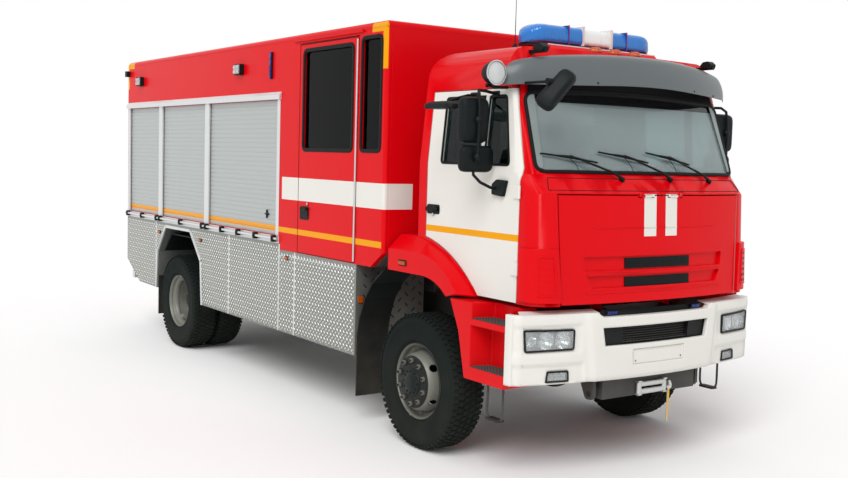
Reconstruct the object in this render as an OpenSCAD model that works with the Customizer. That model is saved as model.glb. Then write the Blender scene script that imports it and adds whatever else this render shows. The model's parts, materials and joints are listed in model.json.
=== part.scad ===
// Fire and rescue truck: tilting cab, crew cabin and shuttered equipment body
// on a two-axle chassis with twin rear wheels. Millimetres, X forward, Z up.
// Shapes are drawn from the front axle; axle_x then moves them so that the
// origin is under the middle of the truck.

/* [Overall] */
// Distance between the axles
wheelbase = 4800; // [4760:10:4840]
// Width over the body sides
body_w = 2500; // [2480:10:2540]
// Height of the body roof
roof_z = 3310; // [3280:10:3380]
// Distance of the body front wall behind the front axle
body_setback = 455; // [450:5:480]
// Length of the body
body_len = 5965; // [5900:5:6100]
// Height of the lower edge of the body
sill_z = 1345; // [1340:5:1360]
// Thickness of the body walls
wall = 50; // [46:1:54]
// Depth of the rear step
rear_step = 130; // [100:10:200]

/* [Wheels] */
// Tyre diameter
tyre_d = 1050; // [1030:5:1060]
// Tyre width
tyre_w = 280; // [276:2:290]
// Bead seat diameter of the rim
rim_d = 572; // [566:2:576]
// Middle of the front tyre from the centre line
front_y = 1075; // [1070:1:1080]
// Middle of the outer rear tyre from the centre line
rear_y = 1090; // [1085:1:1095]
// Distance from rim middle to disc face, half the twin spacing
disc_off = 160; // [158:1:164]
// Front spindle radius
spindle_r = 45; // [40:1:50]
// Rear axle end radius
axle_end_r = 60; // [55:1:65]
// Running clearance in bores, radial
bore_gap = 0.05; // [0.02:0.01:0.1]

/* [Steering] */
// King pin from the centre line
king_y = 880; // [875:1:885]
// King pin radius
king_r = 25; // [22:1:30]

/* [Cab] */
// Width of the cab at the waist
cab_w = 2200; // [2180:10:2210]
// Cab rear wall behind the front axle
cab_back = 180; // [170:5:200]
// Front panel ahead of the front axle
cab_nose = 1335; // [1325:5:1338]
// Lower edge of the cab
cab_low = 1255; // [1253:1:1260]
// Top of the cab roof
cab_top = 3045; // [3030:5:3060]
// Thickness of the cab walls and doors
cab_wall = 50; // [46:1:54]
// Bow radius of the cab front, seen from above
bow_r = 5900; // [5500:100:6500]
// Corner radius of the cab front, seen from above
corner_r = 170; // [160:5:180]
// Rake of the windscreen, degrees
rake = 20; // [19:0.5:21]
// Gap around doors and lids
door_gap = 6; // [5:0.5:8]

/* [Bumper] */
// Bumper nose ahead of the front axle
nose_x = 1345; // [1345:5:1370]
// Lower edge of the bumper
bumper_low = 715; // [710:5:730]
// Top of the bumper ends
bumper_top = 1200; // [1190:2:1204]
// Thickness of the bumper shell
bumper_t = 45; // [40:1:48]

/* [Shutters] */
// Lower edge of the shutter curtains
shutter_low = 1470; // [1460:5:1480]
// Upper edge of the shutter curtains
shutter_top = 2740; // [2700:10:2760]
// Height of one shutter slat
slat_pitch = 45; // [40:1:60]
// Width of the posts between shutters
post_w = 40; // [30:2:60]

/* [Hidden] */
$fn = 48;
body_front = -body_setback;
body_rear = body_front - body_len;
rear_x = -wheelbase;
rear_end = body_rear - rear_step;
axle_x = -(nose_x + rear_end) / 2;
hw = body_w / 2;
wy = hw - wall;
tyre_r = tyre_d / 2;
bead_r = rim_d / 2;
crew_x = body_front - 1785;
skirt_z = 580;
rail_z = 800;
rail_h = 260;
rail_top = rail_z + rail_h;
cab_hw = cab_w / 2;
cab_rear = -cab_back;
// Wheel arch of the cab: centre and radius of its arc
arch_c = [-293, 475];
arch_r = 1160;
// Cab front: panel, cowl and windscreen each lean back from a foot point
foot_z = 2150;
cowl_z = 2034;
cowl_x = cab_nose - 33;
foot_x = cowl_x - (foot_z - cowl_z) * tan(40) - 6;
// Towing eyes: bore position and radius
tow_x = 1205;
tow_y = 535;
tow_z = 604;
tow_r = 22;
// Tilt pivot of the cab
pivot_x = 1200;
pivot_z = 1000;
pivot_r = 20;
// Hinge line of the front panel, under the wiper cowl
lid_z = cowl_z - 24;
lid_pin_r = 4;
lid_x = cab_nose - (lid_z - cab_low) * tan(2.5);
// Door hinges
door_front = 1030;
hinge_x = door_front + door_gap / 2;
hinge_y = cab_hw + 11.3;
door_in = cab_hw - 110;
crew_a = body_front - 425;
crew_b = crew_a - 1010;
crew_hinge_y = hw + 8;

// Places a shape drawn from the front axle
module here() translate([axle_x, 0, 0]) children();
// Draws a left-hand shape and its mirror image
module both() {
  children();
  mirror([0, 1, 0]) children();
}
module right() mirror([0, 1, 0]) children();
// A box from one corner to the other
module box(a, b) translate(a) cube(b - a);
// An outline in X and Z, extruded from y0 to y1
module xz(y0, y1) translate([0, y1, 0]) rotate([90, 0, 0]) linear_extrude(y1 - y0) children();
// An outline in Y and Z, extruded from x0 to x1
module yz(x0, x1) translate([x0, 0, 0]) rotate([90, 0, 90]) linear_extrude(x1 - x0) children();
// A round bar between two points
module bar(a, b, r) {
  d = b - a;
  h = norm(d);
  translate(a) rotate([0, acos(d[2] / h), atan2(d[1], d[0])]) cylinder(r = r, h = h);
}
// Points on an arc
function arc(c, r, a0, a1, n) =
  [for (i = [0 : n]) c + r * [cos(a0 + (a1 - a0) * i / n), sin(a0 + (a1 - a0) * i / n)]];
// Bowed outline with rounded front corners, seen from above
function bowed(nose, half, bow, cr, tail, n = 16, m = 6) =
  let (cx = nose - bow, yc = half - cr, xc = cx + sqrt(pow(bow - cr, 2) - yc * yc),
       a = asin(yc / (bow - cr)))
  concat([[tail, -half]], arc([xc, -yc], cr, -90, -a, m), arc([cx, 0], bow, -a, a, n),
         arc([xc, yc], cr, a, 90, m), [[tail, half]]);

// Wheels

// Wheel frame: local Z points outward
module wheel_at(x, y) translate([x, y, tyre_r]) rotate([-90, 0, 0]) children();
module tyre() {
  w = tyre_w / 2;
  out = [[bead_r + 0.6, 104], [bead_r + 13, 106.5], [bead_r + 14, 113], [bead_r + 24, w - 17],
         [bead_r + 60, w - 7], [tyre_r - 115, w - 1], [tyre_r - 85, w], [tyre_r - 35, w - 8],
         [tyre_r - 9, w - 26], [tyre_r, w - 46]];
  in = [[tyre_r - 32, w - 62], [tyre_r - 56, w - 28], [tyre_r - 115, w - 20], [bead_r + 60, w - 28],
        [bead_r + 24, 92], [bead_r + 0.6, 82]];
  rotate_extrude() polygon(concat(out, [for (i = [len(out) - 1 : -1 : 0]) [out[i][0], -out[i][1]]],
    [for (i = [len(in) - 1 : -1 : 0]) [in[i][0], -in[i][1]]], in));
}
// Drop-centre rim with a coned disc; the disc face lies outward of the rim middle
module rim() {
  difference() {
    rotate_extrude() union() {
      polygon([[bead_r + 12, -118], [bead_r + 12, -108], [bead_r, -106], [bead_r - 2, -72],
        [bead_r - 34, -56], [bead_r - 34, 40], [bead_r - 2, 62], [bead_r, 106], [bead_r + 12, 108],
        [bead_r + 12, 118], [bead_r + 4, 118], [bead_r - 10, 100], [bead_r - 12, 66],
        [bead_r - 44, 46], [bead_r - 44, -60], [bead_r - 12, -76], [bead_r - 10, -100],
        [bead_r + 4, -118]]);
      polygon([[bead_r - 42, -20], [bead_r - 42, 0], [bead_r - 48, 60], [216, disc_off - 22],
        [200, disc_off], [100, disc_off], [100, disc_off - 12], [192, disc_off - 12],
        [206, disc_off - 30], [bead_r - 60, 54], [bead_r - 54, -20]]);
    }
    for (i = [0 : 4])
      rotate([0, 0, 36 + 72 * i]) translate([0, 0, -20]) rotate([0, 62, 0]) translate([0, 0, 190])
        cylinder(r = 32, h = 78);
  }
}
module front_rim() {
  difference() {
    union() {
      rim();
      translate([0, 0, -40]) cylinder(r = 130, h = disc_off + 30);
      translate([0, 0, disc_off - 12]) cylinder(r = 112, h = 24);
    }
    translate([0, 0, -41]) cylinder(r = spindle_r + bore_gap, h = disc_off + 11);
  }
}
module rear_rim() {
  difference() {
    union() {
      rotate([180, 0, 0]) rim();
      translate([0, 0, -2 * disc_off]) rim();
      translate([0, 0, -2 * disc_off]) cylinder(r = 130, h = 2 * disc_off - 70);
      translate([0, 0, -80]) cylinder(r = 95, h = 60);
    }
    translate([0, 0, -2 * disc_off - 1]) cylinder(r = axle_end_r + bore_gap, h = 2 * disc_off - 60);
  }
}
module front_tyre_left() color("#1b1b1c") here() wheel_at(0, front_y) tyre();
module front_tyre_right() color("#1b1b1c") here() right() wheel_at(0, front_y) tyre();
module front_rim_left() color("#9a9c9e") here() wheel_at(0, front_y) front_rim();
module front_rim_right() color("#9a9c9e") here() right() wheel_at(0, front_y) front_rim();
module twin_tyres() {
  wheel_at(rear_x, rear_y) tyre();
  wheel_at(rear_x, rear_y - 2 * disc_off) tyre();
}
module rear_tyres_left() color("#1b1b1c") here() twin_tyres();
module rear_tyres_right() color("#1b1b1c") here() right() twin_tyres();
module rear_rims_left() color("#8d8f91") here() wheel_at(rear_x, rear_y) rear_rim();
module rear_rims_right() color("#8d8f91") here() right() wheel_at(rear_x, rear_y) rear_rim();

// Chassis

// Leaf spring seen from the side, with its hangers
module spring(rise_r, seat_z) {
  xz(325, 405) union() {
    intersection() {
      difference() {
        translate([0, seat_z + rise_r]) circle(rise_r, $fn = 96);
        translate([0, seat_z + rise_r]) circle(rise_r - 28, $fn = 96);
      }
      translate([-620, seat_z - 10]) square([1240, 300]);
    }
    intersection() {
      difference() {
        translate([0, seat_z + rise_r - 26]) circle(rise_r, $fn = 96);
        translate([0, seat_z + rise_r - 26]) circle(rise_r - 28, $fn = 96);
      }
      translate([-420, seat_z - 40]) square([840, 300]);
    }
    translate([-650, rail_z - 120]) square([70, 120]);
    translate([580, rail_z - 120]) square([70, 120]);
    translate([-90, seat_z - 60]) square([180, 100]);
  }
}
module front_axle() color("#2a2c2e") here() {
  difference() {
    union() {
      translate([0, -king_y + 95, tyre_r]) rotate([-90, 0, 0]) cylinder(r = 62, h = 2 * king_y - 190);
      translate([0, 210, tyre_r]) sphere(r = 185);
      both() {
        spring(2000, tyre_r + 100);
        box([-58, king_y - 112, tyre_r - 110], [58, king_y - 66, tyre_r + 110]);
        for (z = [70, -110]) {
          box([-50, king_y - 70, tyre_r + z], [50, king_y, tyre_r + z + 40]);
          translate([0, king_y, tyre_r + z]) cylinder(r = 50, h = 40);
        }
        translate([0, king_y, tyre_r - 110]) cylinder(r = king_r, h = 220);
      }
    }
  }
}
module knuckle() {
  difference() {
    union() {
      translate([0, king_y, tyre_r - 64]) cylinder(r = 50, h = 128);
      box([-45, king_y, tyre_r - 60], [45, front_y - 100, tyre_r + 60]);
      translate([0, front_y - 108, tyre_r]) rotate([-90, 0, 0]) cylinder(r = 205, h = 60);
      translate([0, front_y - 60, tyre_r]) rotate([-90, 0, 0]) cylinder(r = spindle_r, h = disc_off + 20);
    }
    translate([0, king_y, tyre_r - 70]) cylinder(r = king_r + bore_gap, h = 140);
  }
}
module knuckle_left() color("#3a3c3e") here() knuckle();
module knuckle_right() color("#3a3c3e") here() right() knuckle();
module rear_axle() color("#2a2c2e") here() {
  translate([rear_x, 0, tyre_r]) sphere(r = 210);
  both() {
    translate([rear_x, 0, 0]) spring(2200, tyre_r + 115);
    translate([rear_x, 0, tyre_r]) rotate([-90, 0, 0]) cylinder(r = 80, h = rear_y - 2 * disc_off - 150);
    translate([rear_x, 0, tyre_r]) rotate([-90, 0, 0]) cylinder(r = axle_end_r, h = rear_y - 85);
    translate([rear_x, rear_y - 2 * disc_off - 160, tyre_r]) rotate([-90, 0, 0]) cylinder(r = 195, h = 90);
  }
}
module frame() color("#232527") here() {
  both() {
    difference() {
      box([body_rear + 120, 330, rail_z], [1120, 400, rail_top]);
      box([body_rear + 110, 340, rail_z + 10], [1110, 401, rail_top - 10]);
    }
    for (y = [300, 381])
      xz(y, y + 26) polygon([[1090, rail_top - 20], [1090, rail_top - 120], [pivot_x - 10, pivot_z - 40],
        [pivot_x + 36, pivot_z - 20], [pivot_x + 36, pivot_z + 30], [pivot_x, pivot_z + 44]]);
    translate([pivot_x, 300, pivot_z]) rotate([-90, 0, 0]) cylinder(r = pivot_r, h = 107);
    intersection() {
      box([1100, 420, rail_z], [1400, 470, rail_z + 140]);
      translate([-1, 0, rail_z - 1]) linear_extrude(400) bumper_plan(bumper_t + 0.3);
    }
    box([1040, 400, rail_z], [1120, 470, rail_z + 140]);
    box([1060, 469, rail_z], [1120, 550, rail_z + 60]);
    difference() {
      xz(tow_y - 15, tow_y + 15) polygon([[1060, rail_z + 60], [1060, rail_z], [1165, 575], [1185, 562], [1225, 562],
        [1248, 585], [1248, rail_z + 60]]);
      translate([tow_x, tow_y - 20, tow_z]) rotate([-90, 0, 0]) cylinder(r = tow_r, h = 40);
    }
  }
  for (x = [1070, 540, -1720, -3000, -4300, -5300, body_rear + 190])
    box([x - 50, -332, rail_z + 130], [x + 50, 332, rail_z + 230]);
}
module powertrain() color("#3b3d3f") here() {
  box([-430, -290, 730], [330, 290, 1370]);
  box([-760, -290, 730], [-429, 290, sill_z - 15]);
  both() box([-60, 280, rail_z + 40], [60, 330, rail_z + 120]);
  box([-1480, -190, 720], [-759, 190, 1040]);
  bar([-1470, 0, 830], [rear_x + 209, 0, tyre_r + 45], 45);
  bar([-1000, 210, 760], [-186, 210, tyre_r + 39], 38);
  box([-1080, 120, 730], [-980, 250, 800]);
}
// Bumper
module bumper_plan(inset) polygon(bowed(nose_x - inset, 1235 - inset, 4700 - inset, 92 - inset, 1085));
module bumper_band(i0, i1, z0, z1) translate([0, 0, z0]) linear_extrude(z1 - z0) difference() {
  bumper_plan(i0);
  translate([-1, 0]) bumper_plan(i1);
  translate([1000, -1235 + i1]) square([100, 2 * (1235 - i1)]);
}
// Outlines on the bumper face, in Y and Z
module headlamp_face() polygon([[772, 950], [1150, 946], [1162, 1098], [768, 1092]]);
module fog_face() polygon([[800, 728], [985, 728], [975, 806], [805, 806]]);
module front_bumper() color("#e9e9e6") here() {
  difference() {
    bumper_band(0, bumper_t, bumper_low, bumper_top);
    yz(1000, 1500) polygon([[-590, bumper_top + 1], [-540, bumper_top - 34], [540, bumper_top - 34],
      [590, bumper_top + 1]]);
    yz(1000, 1500) polygon([[-520, 960], [520, 960], [545, 1092], [-545, 1092]]);
    both() {
      yz(1000, 1500) headlamp_face();
      yz(1000, 1500) fog_face();
    }
    intersection() {
      yz(1000, 1500) polygon([[-265, 815], [265, 815], [265, 925], [-265, 925]]);
      bumper_band(-5, 7, 800, 940);
    }
  }
}
module headlamps() color("#c9d2da") here() {
  both() {
    intersection() {
      bumper_band(6, bumper_t + 25, 900, 1150);
      yz(1000, 1500) headlamp_face();
    }
    intersection() {
      bumper_band(8, bumper_t + 15, 700, 850);
      yz(1000, 1500) fog_face();
    }
  }
  intersection() {
    bumper_band(40, 72, bumper_top - 34, bumper_top + 8);
    box([1000, -535, 1100], [1500, 535, 1300]);
  }
}
module winch() color("#2b2d2f") here() {
  difference() {
    box([1121, -480, 566], [1270, 480, bumper_low - 1]);
    box([1131, -470, 576], [1260, 470, bumper_low]);
    box([1250, -150, 590], [1280, 150, 650]);
  }
  translate([1195, -471, 650]) rotate([-90, 0, 0]) cylinder(r = 55, h = 942);
  both() {
    box([1121, 430, bumper_low - 20], [1135, 470, rail_z - 0.2]);
    translate([1286, 130, 572]) cylinder(r = 15, h = 96);
    box([1268, 112, 566], [1304, 150, 576]);
    box([1268, 112, 660], [1304, 150, 672]);
  }
  for (z = [592, 646]) translate([1286, -130, z]) rotate([-90, 0, 0]) cylinder(r = 15, h = 260);
  translate([1286, 178, 626]) rotate([90, 0, 0]) cylinder(r = 26, h = 16);
  box([1269, 160, 608], [1290, 180, 640]);
  bar([1296, 170, 612], [1302, 164, 345], 7);
}
// Cab steps
module step_panel() {
  difference() {
    xz(960, 1220) polygon([[424, 1226], [1085, 1226], [1085, 712], [1060, 672], [616, 672],
      [608, 704], [534, 1004]]);
    translate([0, 0, 1112]) linear_extrude(200)
      polygon([[690, 1221], [745, 1050], [1045, 1050], [1100, 1221]]);
    translate([0, 0, 765]) linear_extrude(300)
      polygon([[680, 1221], [735, 1060], [1030, 1060], [1062, 1221]]);
    box([640, 959, 712], [1045, 1020, 1060]);
  }
  box([700, 400, rail_z + 60], [780, 1022, rail_z + 140]);
}
module step_panels() color("#b3121b") here() both() step_panel();
module stirrup_steps() color("#3a3d40") here() both() {
  bar([790, 1130, 420], [790, 1130, 671.8], 9);
  bar([960, 1130, 420], [960, 1130, 671.8], 9);
  box([775, 1095, 405], [975, 1165, 425]);
}
// Mudguards and flaps
module mudguards() color("#232427") here() both() {
  difference() {
    xz(930, 1230) polygon(concat(
      [[-838, 240], [-838, 740]], [[-806, 900], [-730, 1070], [-620, 1210], [-470, 1325]],
      [[-476, 1333], [-626, 1219], [-738, 1076], [-815, 904], [-849.7, 745]], [[-849.7, 240]]));
  }
  xz(rear_y - 2 * disc_off - 150, wy - 2) polygon([[rear_x + 600, 1060], [rear_x + 375, 1270],
    [rear_x - 255, 1270], [rear_x - 470, 1060], [rear_x - 478, 1066], [rear_x - 258, 1280],
    [rear_x + 378, 1280], [rear_x + 608, 1066]]);
  box([rear_x - 240, rear_y - 2 * disc_off - 150, 1279], [rear_x + 360, 1000, sill_z]);
  xz(640, hw - 15) polygon([[rear_x - 575.7, 300], [rear_x - 575.7, 614], [rear_x - 564.6, 760], [rear_x - 555, 760],
    [rear_x - 565.5, 614], [rear_x - 565.5, 300]]);
}

// Equipment body

module body_floor() color("#6f7274") here() {
  xz(-wy, wy) polygon([[body_rear + wall, sill_z], [body_front - 175, sill_z], [body_front, sill_z + 125],
    [body_front - wall, sill_z + 125], [body_front - 190, sill_z + wall], [body_rear + wall, sill_z + wall]]);
  both() box([body_rear + 130, 330, rail_top], [-900, 410, sill_z]);
}
// Left side wall: outline, shutter openings, crew door and narrow window
function shutter_xs() = [[body_rear + 45, rear_x - 495 - post_w / 2],
  [rear_x - 495 + post_w / 2, rear_x + 850 - post_w / 2],
  [rear_x + 850 + post_w / 2, crew_x - 45]];
crew_door_top = roof_z - 25;
module narrow_window() polygon([[body_front - 365, 2287], [body_front - 78, 2287],
  [body_front - 78, 3185], [body_front - 365, 3185]]);
module body_side() {
  difference() {
    xz(wy, hw) difference() {
      polygon([[body_rear, sill_z + 55], [crew_x, sill_z + 55], [crew_x, sill_z],
        [body_front - 175, sill_z], [body_front, sill_z + 125], [body_front, roof_z - wall],
        [body_rear, roof_z - wall]]);
      for (s = shutter_xs()) translate([s[0], shutter_low]) square([s[1] - s[0], shutter_top - shutter_low]);
      translate([crew_b, sill_z - 1]) square([crew_a - crew_b, roof_z - wall - 40 - sill_z]);
      narrow_window();
    }
    translate([body_front, hw, 1000]) difference() {
      translate([-30, -30, 0]) cube([60, 60, 3000]);
      translate([-30, -30, -1]) cylinder(r = 30, h = 3002);
    }
  }
}
module body_side_left() color("#b3121b") here() body_side();
module body_side_right() color("#b3121b") here() right() body_side();
module body_roof() color("#b3121b") here() {
  r = 44;
  intersection() {
    yz(body_rear, body_front) polygon(concat([[-hw, roof_z - wall]],
      arc([-hw + r, roof_z - r], r, 180, 90, 5), arc([hw - r, roof_z - r], r, 90, 0, 5), [[hw, roof_z - wall]]));
    xz(-hw, hw) polygon(concat([[body_rear, roof_z - wall]], arc([body_rear + r, roof_z - r], r, 180, 90, 5),
      arc([body_front - r, roof_z - r], r, 90, 0, 5), [[body_front, roof_z - wall]]));
  }
}
module body_end_walls() color("#b3121b") here() {
  box([body_front - wall, -wy, sill_z + 125], [body_front, wy, roof_z - wall]);
  box([crew_x - wall, -wy, sill_z + wall], [crew_x, wy, roof_z - wall]);
  difference() {
    box([body_rear, -wy, sill_z], [body_rear + wall, wy, roof_z - wall]);
    box([body_rear - 1, -650, shutter_low], [body_rear + wall + 1, 650, shutter_top]);
  }
}
// Slatted curtain in the Y and Z plane, face toward +Y
module curtain() {
  n = floor((shutter_top - shutter_low) / slat_pitch);
  p = (shutter_top - shutter_low) / n;
  f = hw - 22;
  polygon(concat([[f - 14, shutter_top], [f - 14, shutter_low]],
    [for (i = [0 : n - 1], q = [[-5, 0], [-1, 0.1], [0, 0.3], [0, 0.7], [-1, 0.9]])
      [f + q[0], shutter_low + (i + q[1]) * p]], [[f - 5, shutter_top]]));
}
module shutters() color("#c4c6c8") here() {
  both() for (s = shutter_xs()) yz(s[0], s[1]) curtain();
  translate([body_rear + hw, 0, 0]) rotate([0, 0, 90]) yz(-650, 650) curtain();
}
module lift_bars() color("#c4c6c8") here() both() {
  yz(body_rear + 4, crew_x - 4) polygon([[hw, shutter_top], [hw + 24, shutter_top], [hw + 24, shutter_top + 40],
    [hw, shutter_top + 70]]);
  bar([body_rear + 10, hw + 26, sill_z + 98], [crew_x - 8, hw + 26, sill_z + 98], 12);
  for (k = [0 : 2]) let (s = shutter_xs()[k], n = k < 2 ? 2 : 4) for (i = [0 : n])
    let (x = s[0] + 35 + (s[1] - s[0] - 70) * i / n) box([x - 15, hw, sill_z + 72], [x + 15, hw + 36, sill_z + 122]);
}
// Checker plate lockers below the body
module skirt() {
  arch = [[rear_x + 750, skirt_z], [rear_x + 712, 1050], [rear_x + 420, sill_z], [rear_x - 297, sill_z],
    [rear_x - 543, 1047], [rear_x - 576, 614]];
  tail = [[min(body_rear + 445, rear_x - 600), 620], [body_rear, 865]];
  difference() {
    union() {
      xz(wy, hw) polygon(concat([[-850, skirt_z]], arch, tail,
        [[body_rear, sill_z + 55], [crew_x, sill_z + 55], [crew_x, sill_z], [-850, sill_z]]));
      xz(560, wy) polygon(concat([[-850, skirt_z]], [for (i = [0 : 2]) arch[i]], [[-850, sill_z]]));
      xz(560, wy) polygon(concat([for (i = [3 : 5]) arch[i]], tail, [[body_rear, sill_z]]));
    }
    box([rear_x + 800, 600, skirt_z + 40], [-890, wy, sill_z + 1]);
    box([body_rear + 45, 600, 880], [rear_x - 620, wy, sill_z + 1]);
  }
}
module skirts() color("#a9abad") here() both() skirt();
module crew_windows() color("#3c4650") here() both() xz(hw - 30, hw - 22) narrow_window();
module crew_seats() color("#2d3038") here() {
  box([crew_x, 80 - wy, sill_z + wall], [crew_x + 460, wy - 80, sill_z + 470]);
  box([crew_x, 80 - wy, sill_z + 469], [crew_x + 130, wy - 80, sill_z + 1120]);
}
module rear_step_bar() color("#8f9193") here() {
  box([body_rear - rear_step, 50 - hw, 872], [body_rear, hw - 50, 910]);
  box([body_rear - 90, 100 - hw, 610], [body_rear - 10, hw - 100, 700]);
  both() {
    box([body_rear - 12, 340, 610], [body_rear + 120, 396, 700]);
    box([body_rear - 12, 340, 640], [body_rear + 119.5, 396, 960]);
    box([body_rear - 12, 341, 700], [body_rear - 1, 395, 880]);
  }
  ladder_y = [265 - hw, 560 - hw];
  for (y = ladder_y) {
    bar([body_rear - 70, y, 905], [body_rear - 70, y, roof_z - 40], 16);
    for (z = [1200, 2000, 2900]) bar([body_rear, y, z], [body_rear - 70, y, z], 12);
  }
  for (i = [0 : 7]) bar([body_rear - 70, ladder_y[0], 1150 + 280 * i], [body_rear - 70, ladder_y[1], 1150 + 280 * i], 12);
}
module body_lamps() color("#d07a18") here() {
  both() {
    for (x = [body_rear + 484, crew_x - 892])
      box([x - 75, hw, roof_z - 310], [x + 75, hw + 60, roof_z - 200]);
    box([crew_x - 232, hw, roof_z - 376], [crew_x - 188, hw + 24, roof_z - 124]);
    box([body_rear + 10, hw, roof_z - 180], [body_rear + 80, hw + 50, roof_z - 110]);
    for (x = [rear_x - 499, rear_x + 706, crew_x + 161])
      box([x - 32, hw, sill_z - 83], [x + 32, hw + 16, sill_z - 45]);
    box([-850, hw - 70, 1020], [-838, hw - 25, 1080]);
    for (z = [1060, 1180]) box([body_rear - 30, hw - 230, z], [body_rear, hw - 60, z + 90]);
  }
}

// Crew doors

module crew_door() {
  difference() {
    union() {
      xz(wy, hw) difference() {
        translate([crew_b + door_gap, sill_z])
          square([crew_a - crew_b - 2 * door_gap, roof_z - wall - 41 - door_gap - sill_z]);
        crew_door_window();
      }
      translate([crew_a - door_gap, crew_hinge_y, sill_z + 20]) cylinder(r = 9, h = roof_z - sill_z - 140);
      box([crew_b + 100, hw, 1690], [crew_b + 200, hw + 12, 1740]);
    }
  }
}
module crew_door_window() polygon([[crew_b + 80, 2284], [crew_a - 87, 2284], [crew_a - 87, 3150], [crew_b + 80, 3150]]);
module crew_door_glass() xz(hw - 30, hw - 22) crew_door_window();
module crew_door_left() color("#b3121b") here() crew_door();
module crew_door_right() color("#b3121b") here() right() crew_door();
module crew_door_glass_left() color("#3c4650") here() crew_door_glass();
module crew_door_glass_right() color("#3c4650") here() right() crew_door_glass();

// Cab

// Cab outline leaning back by an angle from a foot point
module leaning(angle, x, z, inset) translate([x, 0, z]) rotate([0, -angle, 0]) translate([-cab_nose, 0, -2500])
  linear_extrude(5000) polygon(bowed(cab_nose - inset, cab_hw + 2 - inset, bow_r - inset, corner_r - inset, -4000));
// The cowl slope below the windscreen, bowed to meet the screen foot
module cowl_slope(inset) translate([cowl_x, 0, cowl_z]) rotate([0, -40, 0]) translate([-cab_nose, 0, -2500])
  linear_extrude(5000) polygon(bowed(cab_nose - inset, cab_hw + 25 - inset, bow_r * 1.22 - inset,
    corner_r + 30 - inset, -4000, 15, 5));
// Points along the wheel arch, from the rear wall to the lower edge
function arch_pts(ar, back, low) = arc(arch_c, ar, acos((back - arch_c[0]) / ar), asin((low - arch_c[1]) / ar), 10);
// Cab body drawn inward by inset; floor follows the wheel arch
module cab_volume(inset) {
  r = 150;
  low = cab_low + inset;
  top = cab_top - inset;
  back = cab_rear + inset;
  edge = cab_hw - 55 - inset;
  intersection() {
    union() {
      intersection() {
        leaning(2.5, cab_nose, cab_low, inset);
        cowl_slope(inset);
        box([-2000, -1500, 0], [2000, 1500, foot_z]);
      }
      intersection() {
        leaning(rake, foot_x, foot_z, inset);
        box([-2000, -1500, foot_z], [2000, 1500, 4000]);
      }
    }
    yz(-2000, 2000) polygon(concat([[-cab_hw + inset, 1000], [cab_hw - inset, 1000], [cab_hw - inset, 2200],
      [edge, 2800]], arc([edge - r - 8, top - r], r, 10, 90, 5), arc([-edge + r + 8, top - r], r, 90, 170, 5),
      [[-edge, 2800], [-cab_hw + inset, 2200]]));
    xz(-1500, 1500) polygon(concat(arch_pts(arch_r + inset, back, low),
      [[2000, low], [2000, top + 67], [back + 590, top + 67]], arc([back + 230, top - 230], 230, 100, 180, 5)));
  }
}
// The skin between two insets
module cab_skin(i0, i1) difference() {
  cab_volume(i0);
  cab_volume(i1);
}
// Outlines in X and Z: door, drawn inward by g, and its window
module door_outline(g) {
  difference() {
    polygon([[-75 + g, cab_low + g], [door_front - g, cab_low + g], [door_front - g, 2190],
      [878 - g, 2745 - g], [-75 + g, 2745 - g]]);
    translate(arch_c) circle(arch_r + 20 + g, $fn = 96);
  }
}
// Depth of the door, held back by g: thin below, deeper where the side leans in
module door_zone(g) {
  box([-1000, cab_hw - cab_wall - 10 + g, 1000], [1500, 1400, 2100]);
  box([-1000, door_in + g, 2099], [1500, 1400, 3200]);
}
module door_window() difference() {
  polygon([[100, 2206], [905, 2206], [805, 2690], [100, 2690]]);
  translate([585, 2100]) square([30, 700]);
}
// Windscreen opening, drawn in the raked plane
module screen_hole() translate([foot_x, 0, foot_z]) rotate([0, -rake, 0]) yz(-400, 300)
  polygon([[-985, 56], [-500, 30], [0, 24], [500, 30], [985, 56], [935, 615], [-935, 615]]);
// Front panel outline in Y and Z, drawn inward by g
module panel_outline(g) polygon([[-905 + g, cab_low - 1 + g], [905 - g, cab_low - 1 + g], [935 - g, cowl_z - 12 - g],
  [-935 + g, cowl_z - 12 - g]]);
module cab_shell() color("#b3121b") here() {
  difference() {
    union() {
      difference() {
        cab_volume(0);
        intersection() {
          cab_volume(cab_wall);
          union() {
            box([-3000, -2000, 1000], [1120, 2000, 4000]);
            box([-3000, -2000, cowl_z + 30], [3000, 2000, 4000]);
          }
        }
      }
      both() {
        xz(333, 374) difference() {
          polygon([[930, cab_low + 2], [1065, cab_low + 2], [pivot_x - 112, 1187], [pivot_x - 76, 1150],
            [pivot_x + 30, pivot_z + 24], [pivot_x + 38, pivot_z], [pivot_x + 20, pivot_z - 32],
            [pivot_x - 20, pivot_z - 32], [pivot_x - 36, pivot_z - 16], [pivot_x - 66, 1085]]);
          translate([pivot_x, pivot_z]) circle(pivot_r + bore_gap);
        }
      }
    }
    screen_hole();
    both() intersection() {
      xz(900, 1400) door_outline(0);
      door_zone(0);
    }
    difference() {
      yz(1100, 1600) panel_outline(0);
      leaning(2.5, cab_nose, cab_low, 62);
    }
    box([-400, -700, 2250], [0, 700, 2650]);
  }
  both() {
    for (y = [75, 205]) box([lid_x - 25, y, lid_z - 4], [lid_x + 4, y + 20, cowl_z - 2]);
    translate([lid_x, 85, lid_z]) rotate([-90, 0, 0]) cylinder(r = lid_pin_r, h = 130);
  }
}
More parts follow.
